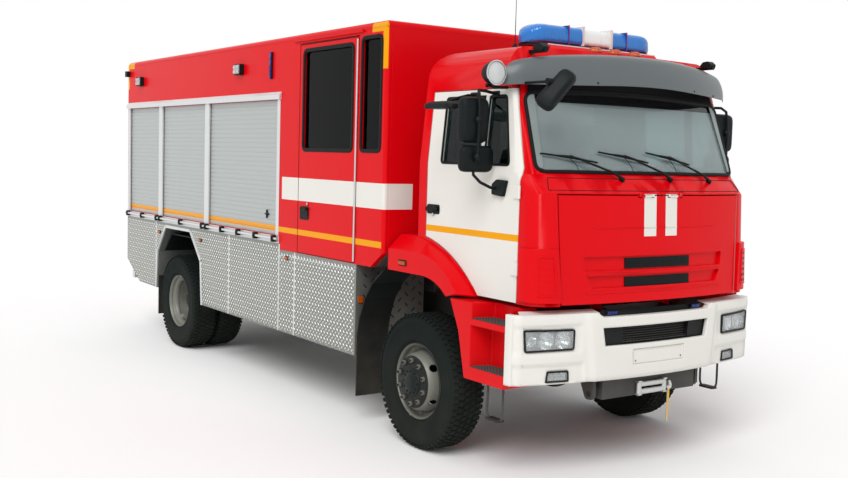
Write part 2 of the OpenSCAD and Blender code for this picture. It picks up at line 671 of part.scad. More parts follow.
module front_panel() color("#b3121b") here() {
  difference() {
    intersection() {
      difference() {
        leaning(2.5, cab_nose, cab_low, 0);
        leaning(2.5, cab_nose, cab_low, 40);
      }
      yz(1100, 1600) panel_outline(door_gap + 3);
    }
    both() for (y = [70, 200]) box([lid_x - 60, y, lid_z - 11], [lid_x + 60, y + 30, lid_z + 60]);
    both() translate([lid_x, 60, lid_z]) rotate([-90, 0, 0]) cylinder(r = lid_pin_r + bore_gap, h = 180);
    intersection() {
      yz(1000, 1600) union() {
        polygon([[-640, 1370], [640, 1370], [690, 1455], [-690, 1455]]);
        polygon([[-700, 1490], [700, 1490], [715, 1590], [-715, 1590]]);
      }
      difference() {
        leaning(2.5, cab_nose, cab_low, -20);
        leaning(2.5, cab_nose, cab_low, 24);
      }
    }
    yz(1000, 1600) union() {
      polygon([[-330, 1512], [330, 1512], [330, 1550], [-330, 1550]]);
      polygon([[-330, 1388], [330, 1388], [330, 1420], [-330, 1420]]);
    }
  }
  both() difference() {
    translate([lid_x, 101, lid_z]) rotate([-90, 0, 0]) cylinder(r = 8, h = 98);
    translate([lid_x, 60, lid_z]) rotate([-90, 0, 0]) cylinder(r = lid_pin_r + bore_gap, h = 180);
  }
}
module windscreen() color("#3c4650") here() intersection() {
  cab_skin(10, 17);
  screen_hole();
}
module visor() color("#5c5f62") here() {
  intersection() {
    translate([1178, 0, 2792]) rotate([0, -16, 0]) translate([-2490, 0, -200]) linear_extrude(600) difference() {
      circle(2490, $fn = 200);
      circle(2476, $fn = 200);
    }
    yz(600, 1400) polygon([for (t = [0 : 15 : 180])
      [(t < 90 ? 850 : t > 90 ? -850 : 0) + 298 * cos(t), 2792 + 233 * sin(t)]]);
  }
  both() difference() {
    box([760, 860, 2990], [957, 885, 3020]);
    cab_volume(-0.3);
  }
}
module light_bar() color("#2b57c8") here() {
  xz(-560, 560) polygon([[170, cab_top], [705, cab_top], [650, 3098], [235, 3098]]);
  translate([0, 0, 3097]) linear_extrude(20) bar_plan(40);
  translate([0, 0, 3116]) linear_extrude(104) bar_plan(0);
  translate([0, 0, 3219]) linear_extrude(28) bar_plan(14);
  translate([0, 0, 3246]) linear_extrude(19) bar_plan(40);
}
// Light bar seen from above, with round ends
module bar_plan(inset) {
  translate([310 + inset, -502]) square([280 - 2 * inset, 1004]);
  for (y = [-502, 502]) translate([450, y]) circle(140 - inset);
}
module roof_lamps() color("#d07a18") here() {
  for (y = [-205, 0, 205]) box([740, y - 50, cab_top], [810, y + 50, cab_top + 48]);
  translate([560, -800, cab_top]) cylinder(r = 22, h = 40);
  translate([560, -800, cab_top]) cylinder(r = 4, h = 420);
}
// Depth of the bowed glass behind its middle
function bow_at(y) = -y * y / (2 * bow_r);
// Wipers: an arm and a blade each, lying on the glass
module wipers() color("#202122") here() {
  translate([foot_x, 0, foot_z]) rotate([0, -rake, 0]) for (y = [-520, -30, 430]) {
    difference() {
      bar([bow_at(y) - 10, y, -34], [bow_at(y) + 44, y, -34], 16);
      rotate([0, rake, 0]) translate([-foot_x, 0, -foot_z]) cab_volume(-0.3);
    }
    bar([bow_at(y) + 36, y, -34], [bow_at(y - 220) + 16, y - 220, 150], 7);
    bar([bow_at(y - 430) + 4.8, y - 430, 118], [bow_at(y + 20) + 4.8, y + 20, 172], 9);
  }
}
// Mirror ahead of the windscreen, and the search lamp beside it
module front_mirror() color("#1d1e20") here() {
  difference() {
    union() {
      bar([800, -1000, 2768], [1256, -1062, 2768], 10);
      bar([1256, -1062, 2778], [1256, -1062, 2690], 11);
      bar([764, -990, 2830], [790, -1236, 2830], 12);
    }
    cab_volume(-0.3);
  }
  box([1236, -1140, 2626], [1284, -970, 2796]);
  translate([782, -1236, 2830]) rotate([0, 90, 0]) cylinder(r = 50, h = 60);
  translate([830, -1236, 2830]) rotate([0, 90, 0]) cylinder(r = 84, h = 76);
}
// Fender: section points for a place along the arch
fender_t = [0, 0.12, 0.25, 0.38, 0.5, 0.6, 0.7, 0.8, 0.9, 1];
function f_in(t) = let (a = 96.3 - t * 54) [arch_c[0] + (arch_r - 1) * cos(a), arch_c[1] + (arch_r - 1) * sin(a)];
function f_out(t) = let (s = t * 930) s < 420 ? [-420 + s, 1517] :
  let (a = 90 - (s - 420) / 600 * 57.3 * 1.12) [600 * cos(a), 917 + 600 * sin(a)];
function f_lip(t) = let (s = t * 830) s < 470 ? [-420 + s, 1348] :
  let (a = 90 - (s - 470) / 500 * 57.3) [50 + 480 * cos(a), 868 + 480 * sin(a)];
module fender() {
  t = 14;
  rings = [for (k = fender_t) let (i = f_in(k), o = f_out(k), l = f_lip(k))
    [[i[0], 1000, i[1]], [i[0], cab_hw, i[1]], [o[0], 1218, o[1]], [l[0], 1218, l[1]],
     [l[0] - t * 0.2, 1218 - t, l[1]], [o[0] - t * 0.4, 1218 - t, o[1] - t], [i[0] - t * 0.6, cab_hw, i[1] - t],
     [i[0] - t * 0.6, 1000, i[1] - t]]];
  n = len(rings);
  pts = [for (r = rings, p = r) p];
  e = (n - 1) * 8;
  ends = [[0, 6, 1], [0, 7, 6], [1, 5, 2], [1, 6, 5], [2, 4, 3], [2, 5, 4]];
  polyhedron(pts, concat(ends, [for (q = ends) [e + q[0], e + q[2], e + q[1]]],
    [for (i = [0 : n - 2], j = [0 : 7], h = [0, 1]) let (a = i * 8 + j, b = i * 8 + (j + 1) % 8)
      h == 0 ? [a, b, b + 8] : [a, b + 8, a + 8]]));
}
module cab_fenders() color("#b3121b") here() both() {
  fender();
  intersection() {
    difference() {
      cab_volume(-26);
      cab_volume(0);
    }
    yz(1000, 1600) polygon([[912, 1280], [1160, 1280], [1160, 1650], [938, 1650]]);
    box([1065, 800, 1200], [1500, 1200, 1700]);
  }
}
module cab_seats() color("#33363c") here() difference() {
  for (y = [-620, 0, 620]) {
    box([-40, y - 240, 1400], [430, y + 240, 1960]);
    box([-110, y - 230, 1400], [-39, y + 230, 2560]);
  }
  xz(-1500, 1500) polygon(concat([[-500, 0], [-500, 1200]],
    arch_pts(arch_r + cab_wall, cab_rear + cab_wall, cab_low + cab_wall), [[1500, 0]]));
}
module dashboard() color("#2a2b2d") here() {
  box([960, -930, 1820], [1120, 930, 1990]);
  box([960, -930, 1989], [1085, 930, 2080]);
  bar([960, 620, 1960], [760, 620, 2110], 30);
  translate([750, 620, 2117]) rotate([0, -53, 0]) rotate_extrude() translate([205, 0]) circle(15);
  for (a = [90, 210, 330])
    translate([750, 620, 2117]) rotate([0, -53, 0]) rotate([0, 0, a]) rotate([0, 90, 0]) cylinder(r = 12, h = 205);
}

// Cab doors

module cab_door() {
  intersection() {
    cab_skin(0, cab_wall);
    xz(900, 1400) difference() {
      door_outline(door_gap);
      door_window();
    }
    door_zone(door_gap);
  }
  for (z = [1450, 1980])
    translate([hinge_x, hinge_y, z]) cylinder(r = 11, h = 90);
  for (z = [1450, 1980]) {
    box([hinge_x - 60, cab_hw - 1, z], [door_front - door_gap - 2, hinge_y, z + 90]);
    box([hinge_x - 30, cab_hw + 5, z], [hinge_x, hinge_y, z + 90]);
  }
  box([-52, cab_hw - 1, 1835], [78, cab_hw + 22, 1870]);
}
module cab_door_glass() intersection() {
  cab_skin(20, 27);
  xz(900, 1400) door_window();
}
module cab_door_left() color("#e9e9e6") here() cab_door();
module cab_door_right() color("#e9e9e6") here() right() cab_door();
module cab_door_glass_left() color("#3c4650") here() cab_door_glass();
module cab_door_glass_right() color("#3c4650") here() right() cab_door_glass();
module mirrors() {
  box([755, cab_hw + 0.3, 2000], [825, cab_hw + 24, 2090]);
  bar([790, cab_hw + 12, 2040], [722, 1290, 2140], 11);
  bar([722, 1290, 2100], [722, 1290, 2714], 13);
  bar([722, 1290, 2701], [682, 1057, 2701], 10);
  box([710, 1180, 2350], [790, 1415, 2670]);
  box([710, 1190, 2172], [780, 1405, 2336]);
}
module kerb_mirror() {
  bar([440, 1057, 2702], [440, 1340, 2622], 9);
  box([270, 1270, 2590], [615, 1415, 2645]);
}
module mirrors_left() color("#1d1e20") here() mirrors();
module mirrors_right() color("#1d1e20") here() right() {
  mirrors();
  kerb_mirror();
}

frame();
front_axle();
rear_axle();
powertrain();
front_bumper();
headlamps();
winch();
step_panels();
stirrup_steps();
mudguards();
body_floor();
body_side_right();
body_side_left();
body_roof();
body_end_walls();
shutters();
lift_bars();
skirts();
crew_windows();
crew_seats();
rear_step_bar();
body_lamps();
crew_door_right();
crew_door_left();
crew_door_glass_right();
crew_door_glass_left();
cab_shell();
front_panel();
windscreen();
visor();
light_bar();
roof_lamps();
wipers();
front_mirror();
cab_fenders();
cab_seats();
dashboard();
cab_door_right();
cab_door_left();
cab_door_glass_right();
cab_door_glass_left();
mirrors_right();
mirrors_left();
knuckle_right();
knuckle_left();
front_tyre_right();
front_rim_right();
front_tyre_left();
front_rim_left();
rear_tyres_right();
rear_rims_right();
rear_tyres_left();
rear_rims_left();
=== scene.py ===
# %% [markdown]
# # A fire and rescue truck, dressed in Blender
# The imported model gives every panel, wheel and hinge at its real place. This lesson adds the
# finishes and the fine pieces: slats, plate lozenges, nuts, tread, lenses, rubber and cushions.
# Lengths are metres. Positions are measured from the front axle, X forward, Y left, Z up.

# %% Load the frame
import json
import math
import bpy
import bmesh
from mathutils import Matrix, Vector

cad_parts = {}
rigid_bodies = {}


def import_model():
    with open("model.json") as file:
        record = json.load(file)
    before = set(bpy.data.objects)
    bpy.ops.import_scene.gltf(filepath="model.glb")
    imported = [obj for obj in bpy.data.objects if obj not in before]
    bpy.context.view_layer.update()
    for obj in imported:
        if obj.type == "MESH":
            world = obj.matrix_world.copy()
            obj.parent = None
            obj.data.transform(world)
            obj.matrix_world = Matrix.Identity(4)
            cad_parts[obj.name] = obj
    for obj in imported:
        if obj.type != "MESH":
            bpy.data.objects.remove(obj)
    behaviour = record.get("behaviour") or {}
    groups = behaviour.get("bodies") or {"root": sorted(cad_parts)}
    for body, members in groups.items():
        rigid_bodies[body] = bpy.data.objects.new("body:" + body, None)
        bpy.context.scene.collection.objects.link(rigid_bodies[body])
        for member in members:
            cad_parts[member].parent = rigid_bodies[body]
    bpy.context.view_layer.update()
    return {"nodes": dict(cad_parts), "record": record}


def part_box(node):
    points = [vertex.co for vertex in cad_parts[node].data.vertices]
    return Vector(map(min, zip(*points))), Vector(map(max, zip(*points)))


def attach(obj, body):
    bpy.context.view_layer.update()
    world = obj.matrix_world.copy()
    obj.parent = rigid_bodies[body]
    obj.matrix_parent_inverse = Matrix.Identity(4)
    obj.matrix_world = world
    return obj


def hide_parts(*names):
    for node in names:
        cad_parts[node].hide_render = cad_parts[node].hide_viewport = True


for old in list(bpy.data.objects):
    bpy.data.objects.remove(old)
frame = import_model()
low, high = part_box("front_tyre_left")
AXLE_X = (low.x + high.x) / 2
NODES = frame["nodes"]

# %% [markdown]
# ## Camera
# The viewing angle was found by matching wheel centres, body edges and lamp corners of the
# photograph to their sizes. A camera could be aimed by eye, but a solved one lets every later
# piece be placed by measurement.

# %% Camera
YAW, PITCH, ROLL = (math.radians(a) for a in (145.0435, -4.5268, 1.6014))
EYE = Vector((6.50045 + AXLE_X, -5.71193, 2.25015))
SENSOR, LENS, FARTHEST = 36, 44.309, 400
forward = Vector((math.cos(PITCH) * math.cos(YAW), math.cos(PITCH) * math.sin(YAW), math.sin(PITCH)))
level = forward.cross(Vector((0, 0, 1))).normalized()
upright = level.cross(forward)
across = math.cos(ROLL) * level + math.sin(ROLL) * upright
above = -math.sin(ROLL) * level + math.cos(ROLL) * upright
cam = bpy.data.objects.new("camera", bpy.data.cameras.new("camera"))
cam.data.sensor_fit = "HORIZONTAL"
cam.data.sensor_width = SENSOR
cam.data.lens = LENS
cam.data.clip_end = FARTHEST
turn = Matrix((across, above, -forward)).transposed().to_4x4()
cam.matrix_world = Matrix.Translation(EYE) @ turn
bpy.context.scene.collection.objects.link(cam)
bpy.context.scene.camera = cam
print("camera at", [round(c, 3) for c in cam.location])

# %% [markdown]
# ## Node graphs in few lines
# Materials are graphs. A small helper keeps each graph readable: it adds a node, sets a socket
# or links it, and returns the output that the next node needs.

# %% Graph helper
class Graph:
    def __init__(self, tree):
        self.tree = tree

    def node(self, kind, **settings):
        made = self.tree.nodes.new(kind)
        for key, value in settings.items():
            setattr(made, key, value)
        return made

    def put(self, socket, value):
        if isinstance(value, bpy.types.NodeSocket):
            self.tree.links.new(value, socket)
        else:
            socket.default_value = value

    def math(self, operation, *values, clamp=False):
        made = self.node("ShaderNodeMath", operation=operation, use_clamp=clamp)
        for socket, value in zip(made.inputs, values):
            self.put(socket, value)
        return made.outputs[0]

    def mix(self, share, first, second):
        made = self.node("ShaderNodeMix", data_type="RGBA")
        for slot, value in ((0, share), (6, first), (7, second)):
            self.put(made.inputs[slot], value)
        return made.outputs[2]

    def use(self, group, **values):
        made = self.node("ShaderNodeGroup", node_tree=bpy.data.node_groups[group])
        for key, value in values.items():
            self.put(made.inputs[key.replace("_", " ")], value)
        return made.outputs


def srgb(code):
    parts = [int(code[i:i + 2], 16) / 255 for i in (1, 3, 5)]
    return (*[c / 12.92 if c <= 0.04045 else ((c + 0.055) / 1.055) ** 2.4 for c in parts], 1.0)


def new_group(name, inputs, outputs):
    tree = bpy.data.node_groups.new(name, "ShaderNodeTree")
    for label, kind, start in inputs:
        tree.interface.new_socket(label, in_out="INPUT",
                                  socket_type="NodeSocket" + kind).default_value = start
    for label, kind in outputs:
        tree.interface.new_socket(label, in_out="OUTPUT", socket_type="NodeSocket" + kind)
    graph = Graph(tree)
    return graph, graph.node("NodeGroupInput").outputs, graph.node("NodeGroupOutput").inputs


print("graph helper ready")

# %% [markdown]
# ## Shared surface effects
# Paint, plastic and metal on a working vehicle are never one even colour. Three effects come up
# again and again: a slow mottle of tone, road dust that thickens towards the ground, and a fine
# uneven skin. Each is a node group, so every material can use it with its own strength.

# %% Mottle, dust, skin and box groups
g, given, made = new_group("tone_mottle", [("Color", "Color", (1, 1, 1, 1)), ("Scale", "Float", 3.0),
                           ("Amount", "Float", 0.1)], [("Color", "Color"), ("Value", "Float")])
place = g.node("ShaderNodeTexCoord").outputs["Object"]
noise = g.node("ShaderNodeTexNoise")
g.put(noise.inputs["Vector"], place)
g.put(noise.inputs["Scale"], given["Scale"])
g.put(noise.inputs["Detail"], 5.0)
spread = g.math("SUBTRACT", noise.outputs[0], 0.5)
factor = g.math("ADD", g.math("MULTIPLY", spread, given["Amount"]), 1.0)
scaled = g.node("ShaderNodeVectorMath", operation="SCALE")
g.put(scaled.inputs[0], given["Color"])
g.put(scaled.inputs["Scale"], factor)
g.put(made["Color"], scaled.outputs[0])
g.put(made["Value"], spread)

g, given, made = new_group("road_dust", [("Color", "Color", (1, 1, 1, 1)), ("Dust", "Color", srgb("#8d8577")),
                           ("Height", "Float", 1.2), ("Amount", "Float", 0.3)],
                           [("Color", "Color"), ("Mask", "Float")])
place = g.node("ShaderNodeTexCoord").outputs["Object"]
split = g.node("ShaderNodeSeparateXYZ")
g.put(split.inputs[0], place)
noise = g.node("ShaderNodeTexNoise")
g.put(noise.inputs["Vector"], place)
g.put(noise.inputs["Scale"], 6.0)
g.put(noise.inputs["Detail"], 8.0)
fall = g.math("SUBTRACT", 1.0, g.math("DIVIDE", split.outputs[2], given["Height"]), clamp=True)
mask = g.math("MULTIPLY", g.math("MULTIPLY", fall, noise.outputs[0]), given["Amount"], clamp=True)
g.put(made["Mask"], mask)
g.put(made["Color"], g.mix(mask, given["Color"], given["Dust"]))

g, given, made = new_group("fine_skin", [("Scale", "Float", 200.0), ("Stretch", "Vector", (1, 1, 1))],
                           [("Height", "Float")])
place = g.node("ShaderNodeTexCoord").outputs["Object"]
mapping = g.node("ShaderNodeVectorMath", operation="MULTIPLY")
g.put(mapping.inputs[0], place)
g.put(mapping.inputs[1], given["Stretch"])
noise = g.node("ShaderNodeTexNoise")
g.put(noise.inputs["Vector"], mapping.outputs[0])
g.put(noise.inputs["Scale"], given["Scale"])
g.put(noise.inputs["Detail"], 3.0)
g.put(made["Height"], noise.outputs[0])

g, given, made = new_group("box_mask", [("Low", "Vector", (0, 0, 0)), ("High", "Vector", (1, 1, 1))],
                           [("Mask", "Float")])
place = g.node("ShaderNodeTexCoord").outputs["Object"]
within = 1.0
parts = []
for source in (place, given["Low"], given["High"]):
    cut = g.node("ShaderNodeSeparateXYZ")
    g.put(cut.inputs[0], source)
    parts.append(cut.outputs)
for i in range(3):
    over = g.math("GREATER_THAN", parts[0][i], parts[1][i])
    under = g.math("LESS_THAN", parts[0][i], parts[2][i])
    within = g.math("MULTIPLY", within, g.math("MULTIPLY", over, under))
g.put(made["Mask"], within)
print("groups", [t.name for t in bpy.data.node_groups])

# %% [markdown]
# ## One recipe for most finishes
# A finish is a base colour, painted marks, mottle, dust and a skin. Marks such as the white band
# and the yellow line are boxes in the object's own space, so they stay on a door that opens.

# %% Finish recipe
FINISH = {}
DUST_DULLS, TONE_DULLS, SMOOTHEST = 0.6, 0.12, 0.03
COAT_ROUGH, SKIN_DEPTH = 0.06, 0.002


def start_material(name):
    material = FINISH[name] = bpy.data.materials.new(name)
    material.use_nodes = True
    return Graph(material.node_tree), material.node_tree.nodes["Principled BSDF"].inputs


def add_bump(g, sockets, height, strength, distance):
    bump = g.node("ShaderNodeBump")
    g.put(bump.inputs["Strength"], strength)
    g.put(bump.inputs["Distance"], distance)
    g.put(bump.inputs["Height"], height)
    g.put(sockets["Normal"], bump.outputs[0])


def finish(name, colour, rough=0.4, metal=0.0, coat=0.0, mottle=(3.0, 0.08), dust=(1.2, 0.3),
           skin=(180.0, 0.02), stretch=(1, 1, 1), marks=(), **others):
    g, sockets = start_material(name)
    base = srgb(colour)
    for paint, start, end in marks:
        ends = [(c[0] + AXLE_X, c[1], c[2]) for c in (start, end)]
        base = g.mix(g.use("box_mask", Low=ends[0], High=ends[1])["Mask"], base, srgb(paint))
    tone = g.use("tone_mottle", Color=base, Scale=mottle[0], Amount=mottle[1])
    soil = g.use("road_dust", Color=tone["Color"], Height=dust[0], Amount=dust[1])
    g.put(sockets["Base Color"], soil["Color"])
    dulled = g.math("MULTIPLY_ADD", tone["Value"], TONE_DULLS, rough)
    dulled = g.math("MULTIPLY_ADD", soil["Mask"], DUST_DULLS, dulled)
    g.put(sockets["Roughness"], g.math("MAXIMUM", dulled, SMOOTHEST))
    g.put(sockets["Metallic"], metal)
    g.put(sockets["Coat Weight"], coat)
    g.put(sockets["Coat Roughness"], COAT_ROUGH)
    grain = g.use("fine_skin", Scale=skin[0], Stretch=stretch)
    add_bump(g, sockets, grain["Height"], skin[1], SKIN_DEPTH)
    for key, value in others.items():
        g.put(sockets[key.replace("_", " ")], value)


print("finish recipe ready")

# %% Painted marks
# Each mark is a colour with two corners of its box. The yellow ones at the roof run on both sides.
RED, WHITE, YELLOW = "#d6030f", "#dfddd6", "#e89d00"
BAND = (1.820, 2.025)
LINE = (1.510, 1.560)
ROOF_MARK_TOP, ROOF_MARK_SIDE = 3.32, 1.235
body_marks = [(WHITE, (-2.205, -2, BAND[0]), (-0.40, 2, BAND[1])),
              (YELLOW, (-6.5, -2, LINE[0]), (-0.477, 2, LINE[1]))]
for rear, ahead, foot in ((-0.68, -0.40, 3.225), (-0.515, -0.40, 2.93),
                          (-6.5, -6.20, 3.225), (-6.5, -6.365, 2.98)):
    for start, end in ((-2, -ROOF_MARK_SIDE), (ROOF_MARK_SIDE, 2)):
        body_marks.append((YELLOW, (rear, start, foot), (ahead, end, ROOF_MARK_TOP)))
wall_marks = [("#6f7877", (-0.47, -0.78, 1.55), (-0.44, 0.98, 2.85)),
              (WHITE, (-0.52, -2, BAND[0]), (-0.40, -0.975, BAND[1])),
              (WHITE, (-0.52, 0.975, BAND[0]), (-0.40, 2, BAND[1]))]
panel_marks = [(WHITE, (1.0, 0.048, 1.725), (1.6, 0.170, 2.026)),
               (WHITE, (1.0, -0.170, 1.725), (1.6, -0.048, 2.026))]
door_marks = [(YELLOW, (-0.2, -2, 1.683), (1.3, 2, 1.730))]
print("marks", len(body_marks + wall_marks + panel_marks + door_marks))

# %% Paint, plastic, rubber, metal and cloth
GLOSS = dict(rough=0.32, coat=0.05, mottle=(1.4, 0.10), dust=(1.3, 0.10), skin=(90, 0.015),
             Specular_IOR_Level=0.09)
finish("paint_body", RED, marks=body_marks, **GLOSS)
finish("paint_wall", RED, marks=wall_marks, **GLOSS)
finish("paint_cab", RED, **GLOSS)
finish("paint_panel", RED, marks=panel_marks, **GLOSS)
finish("paint_door", WHITE, marks=door_marks, **GLOSS)
finish("paint_bumper", "#e0ded8", **GLOSS)
finish("paint_grey", "#585e60", rough=0.38, coat=0.1, skin=(400, 0.05), Specular_IOR_Level=0.4)
finish("plastic_black", "#101516", rough=0.5, skin=(700, 0.12), mottle=(5, 0.2), Specular_IOR_Level=0.15)
finish("rubber_seal", "#0e0f10", rough=0.55, skin=(500, 0.08), mottle=(8, 0.25), Specular_IOR_Level=0.15)
finish("rubber_tyre", "#0f1817", rough=0.8, skin=(260, 0.25), mottle=(9, 0.3), dust=(1.4, 0.10),
       Specular_IOR_Level=0.08)
finish("steel_rim", "#777871", rough=0.45, metal=0.3, mottle=(10, 0.25), dust=(1.4, 0.25),
       Specular_IOR_Level=0.2)
finish("steel_hub", "#111a19", rough=0.45, metal=0.1, mottle=(14, 0.3), dust=(1.4, 0.10),
       Specular_IOR_Level=0.15)
finish("steel_bright", "#c9cac8", rough=0.3, metal=0.85, skin=(260, 0.05), mottle=(12, 0.12))
finish("steel_dark", "#1c1e20", rough=0.6, mottle=(6, 0.35), dust=(1.6, 0.4), skin=(160, 0.2))
finish("alu_slat", "#afb4b3", rough=0.42, metal=0.35, mottle=(2, 0.07), dust=(1.9, 0.15), skin=(40, 0.03),
       stretch=(0.15, 1, 8), marks=[body_marks[1]])
finish("alu_trim", "#d5d7d7", rough=0.36, metal=0.5, mottle=(6, 0.08), skin=(60, 0.04))
# Plate darker and lozenges brighter than the metal is: painted shade and painted glints, same average.
finish("alu_plate", "#878984", rough=0.36, metal=0.6, mottle=(7, 0.2), dust=(1.4, 0.3), skin=(320, 0.1))
finish("alu_stud_glint", "#e4e5e1", rough=0.3, metal=0.55, mottle=(9, 0.12), dust=(1.4, 0.1), skin=(200, 0.05))
finish("cab_lining", "#8d9695", rough=0.85, mottle=(4, 0.15), dust=(0.1, 0), skin=(500, 0.2))
finish("seat_cloth", "#2b3038", rough=0.9, skin=(900, 0.6), mottle=(40, 0.3), dust=(0.1, 0.0))
finish("dash_plastic", "#24262a", rough=0.6, skin=(600, 0.2), mottle=(6, 0.2))
finish("chrome", "#dfe2e4", rough=0.08, metal=1.0, mottle=(9, 0.05), skin=(50, 0.0))
finish("lamp_bowl", "#e6e8e6", rough=0.28, metal=0.35, mottle=(12, 0.1), skin=(60, 0.02))
finish("mirror_glass", "#cfd6d9", rough=0.03, metal=1.0, mottle=(2, 0.04), skin=(9, 0.0))
finish("strap_yellow", "#d9a413", rough=0.8, skin=(900, 0.5), mottle=(60, 0.25))
finish("screen_edge", "#7c8786", rough=0.08, mottle=(1.3, 0.10), dust=(0.1, 0), skin=(9, 0.0))
print("finishes", len(FINISH))

# %% [markdown]
# ## Glass and lenses
# Glass lets light through and mirrors the sky, so it keeps a plain transmission value. The
# windscreen has a darker band along its top edge, partly a tint and partly painted shadow of the
# visor, and the crew windows are tinted. Lamp lenses are coloured plastic with moulded ribs.

# %% Glass recipe
GLASS_MOTTLE, GLASS_UNEVEN = (1.3, 0.10), 0.02
RIB_STRENGTH, RIB_DEPTH = 0.35, 0.004


def glass(name, colour, rough=0.03, through=1.0, ior=1.5, ribs=None, top=None):
    g, sockets = start_material(name)
    base = srgb(colour)
    if top:
        shade, start, end = top
        mask = g.use("box_mask", Low=(-9, -9, start), High=(9, 9, end))["Mask"]
        base = g.mix(mask, base, srgb(shade))
    tone = g.use("tone_mottle", Color=base, Scale=GLASS_MOTTLE[0], Amount=GLASS_MOTTLE[1])
    g.put(sockets["Base Color"], tone["Color"])
    g.put(sockets["Roughness"], g.math("MULTIPLY_ADD", tone["Value"], GLASS_UNEVEN, rough))
    g.put(sockets["Transmission Weight"], through)
    g.put(sockets["IOR"], ior)
    if ribs:
        wave = g.node("ShaderNodeTexWave", wave_type="BANDS", bands_direction=ribs[0])
        g.put(wave.inputs["Vector"], g.node("ShaderNodeTexCoord").outputs["Object"])
        g.put(wave.inputs["Scale"], ribs[1])
        add_bump(g, sockets, wave.outputs[1], RIB_STRENGTH, RIB_DEPTH)


# The dark top band of the windscreen is partly tint and partly painted shadow of the visor.
glass("glass_screen", "#b3c3c4", through=0.66, top=("#20282a", 2.655, 2.9))
glass("glass_door", "#6f8886", ior=1.25)
glass("glass_tint", "#1c3036", ior=1.15)
# The clear lens is partly milky white, as painted light from the lamp bowls behind it.
glass("lens_clear", "#f1f4f4", through=0.80, ribs=("Y", 22.0))
glass("lens_orange", "#e0600c", rough=0.12, through=0.35, ribs=("X", 60.0))
glass("lens_red", "#b00d0d", rough=0.12, through=0.3, ribs=("Y", 60.0))
glass("lens_white", "#eceeee", rough=0.12, through=0.35, ribs=("Y", 30.0))
glass("lens_beacon", "#1f83de", rough=0.10, through=0.2, ribs=("Y", 16.0))
glass("lens_strobe", "#0f2f8f", rough=0.12, through=0.2, ribs=("X", 60.0))
print("all finishes", len(FINISH))

# %% [markdown]
# ## Light and floor
# A plain pale floor and soft light from the front right, as in the photograph. The world is white
# to the camera, to reflections and through glass, and dimmer as a lamp, so that the paint keeps
# its colour.

# %% World, sun and floor
SKY_LIGHT = 0.58
SUN_ENERGY, SUN_SPREAD, SUN_FROM = 2.0, math.radians(35), Vector((0.50, -0.62, 0.74))
FLOOR_REACH = 120.0
world = bpy.data.worlds.new("studio")
bpy.context.scene.world = world
world.use_nodes = True
g = Graph(world.node_tree)
path = g.node("ShaderNodeLightPath").outputs
seen = g.math("MAXIMUM", path["Is Camera Ray"], path["Is Transmission Ray"])
seen = g.math("MAXIMUM", seen, path["Is Glossy Ray"])
backdrop = world.node_tree.nodes["Background"].inputs
g.put(backdrop["Color"], (1.0, 1.0, 1.0, 1))
g.put(backdrop["Strength"], g.math("MULTIPLY_ADD", seen, 1 - SKY_LIGHT, SKY_LIGHT))
sun = bpy.data.objects.new("soft_sun", bpy.data.lights.new("soft_sun", "SUN"))
sun.data.energy = SUN_ENERGY
sun.data.angle = SUN_SPREAD
sun.rotation_mode = "QUATERNION"
sun.rotation_quaternion = SUN_FROM.to_track_quat("Z", "Y")
bpy.context.scene.collection.objects.link(sun)
bpy.context.scene.view_settings.view_transform = "Standard"

floor_mesh = bpy.data.meshes.new("floor")
corners = ((-1, -1), (1, -1), (1, 1), (-1, 1))
floor_mesh.from_pydata([(x * FLOOR_REACH, y * FLOOR_REACH, 0) for x, y in corners], [], [(0, 1, 2, 3)])
floor = bpy.data.objects.new("floor", floor_mesh)
bpy.context.scene.collection.objects.link(floor)
finish("pale_floor", "#ffffff", rough=0.9, mottle=(0.4, 0.01), dust=(1, 0), skin=(30, 0))
floor_mesh.materials.append(FINISH["pale_floor"])
print("floor and sun ready")

# %% [markdown]
# ## Building shapes
# Fine pieces are written as points and faces. A small collector adds boxes, prisms, tubes and
# turned rings, and closes them into one clean object that rides on a body of the frame.

# %% Shape collector
def ring_frame(direction):
    axis = Vector(direction).normalized()
    first = axis.orthogonal().normalized()
    if abs(axis.z) < 0.9:
        first = axis.cross(Vector((0, 0, 1))).normalized()
    return first, axis.cross(first)


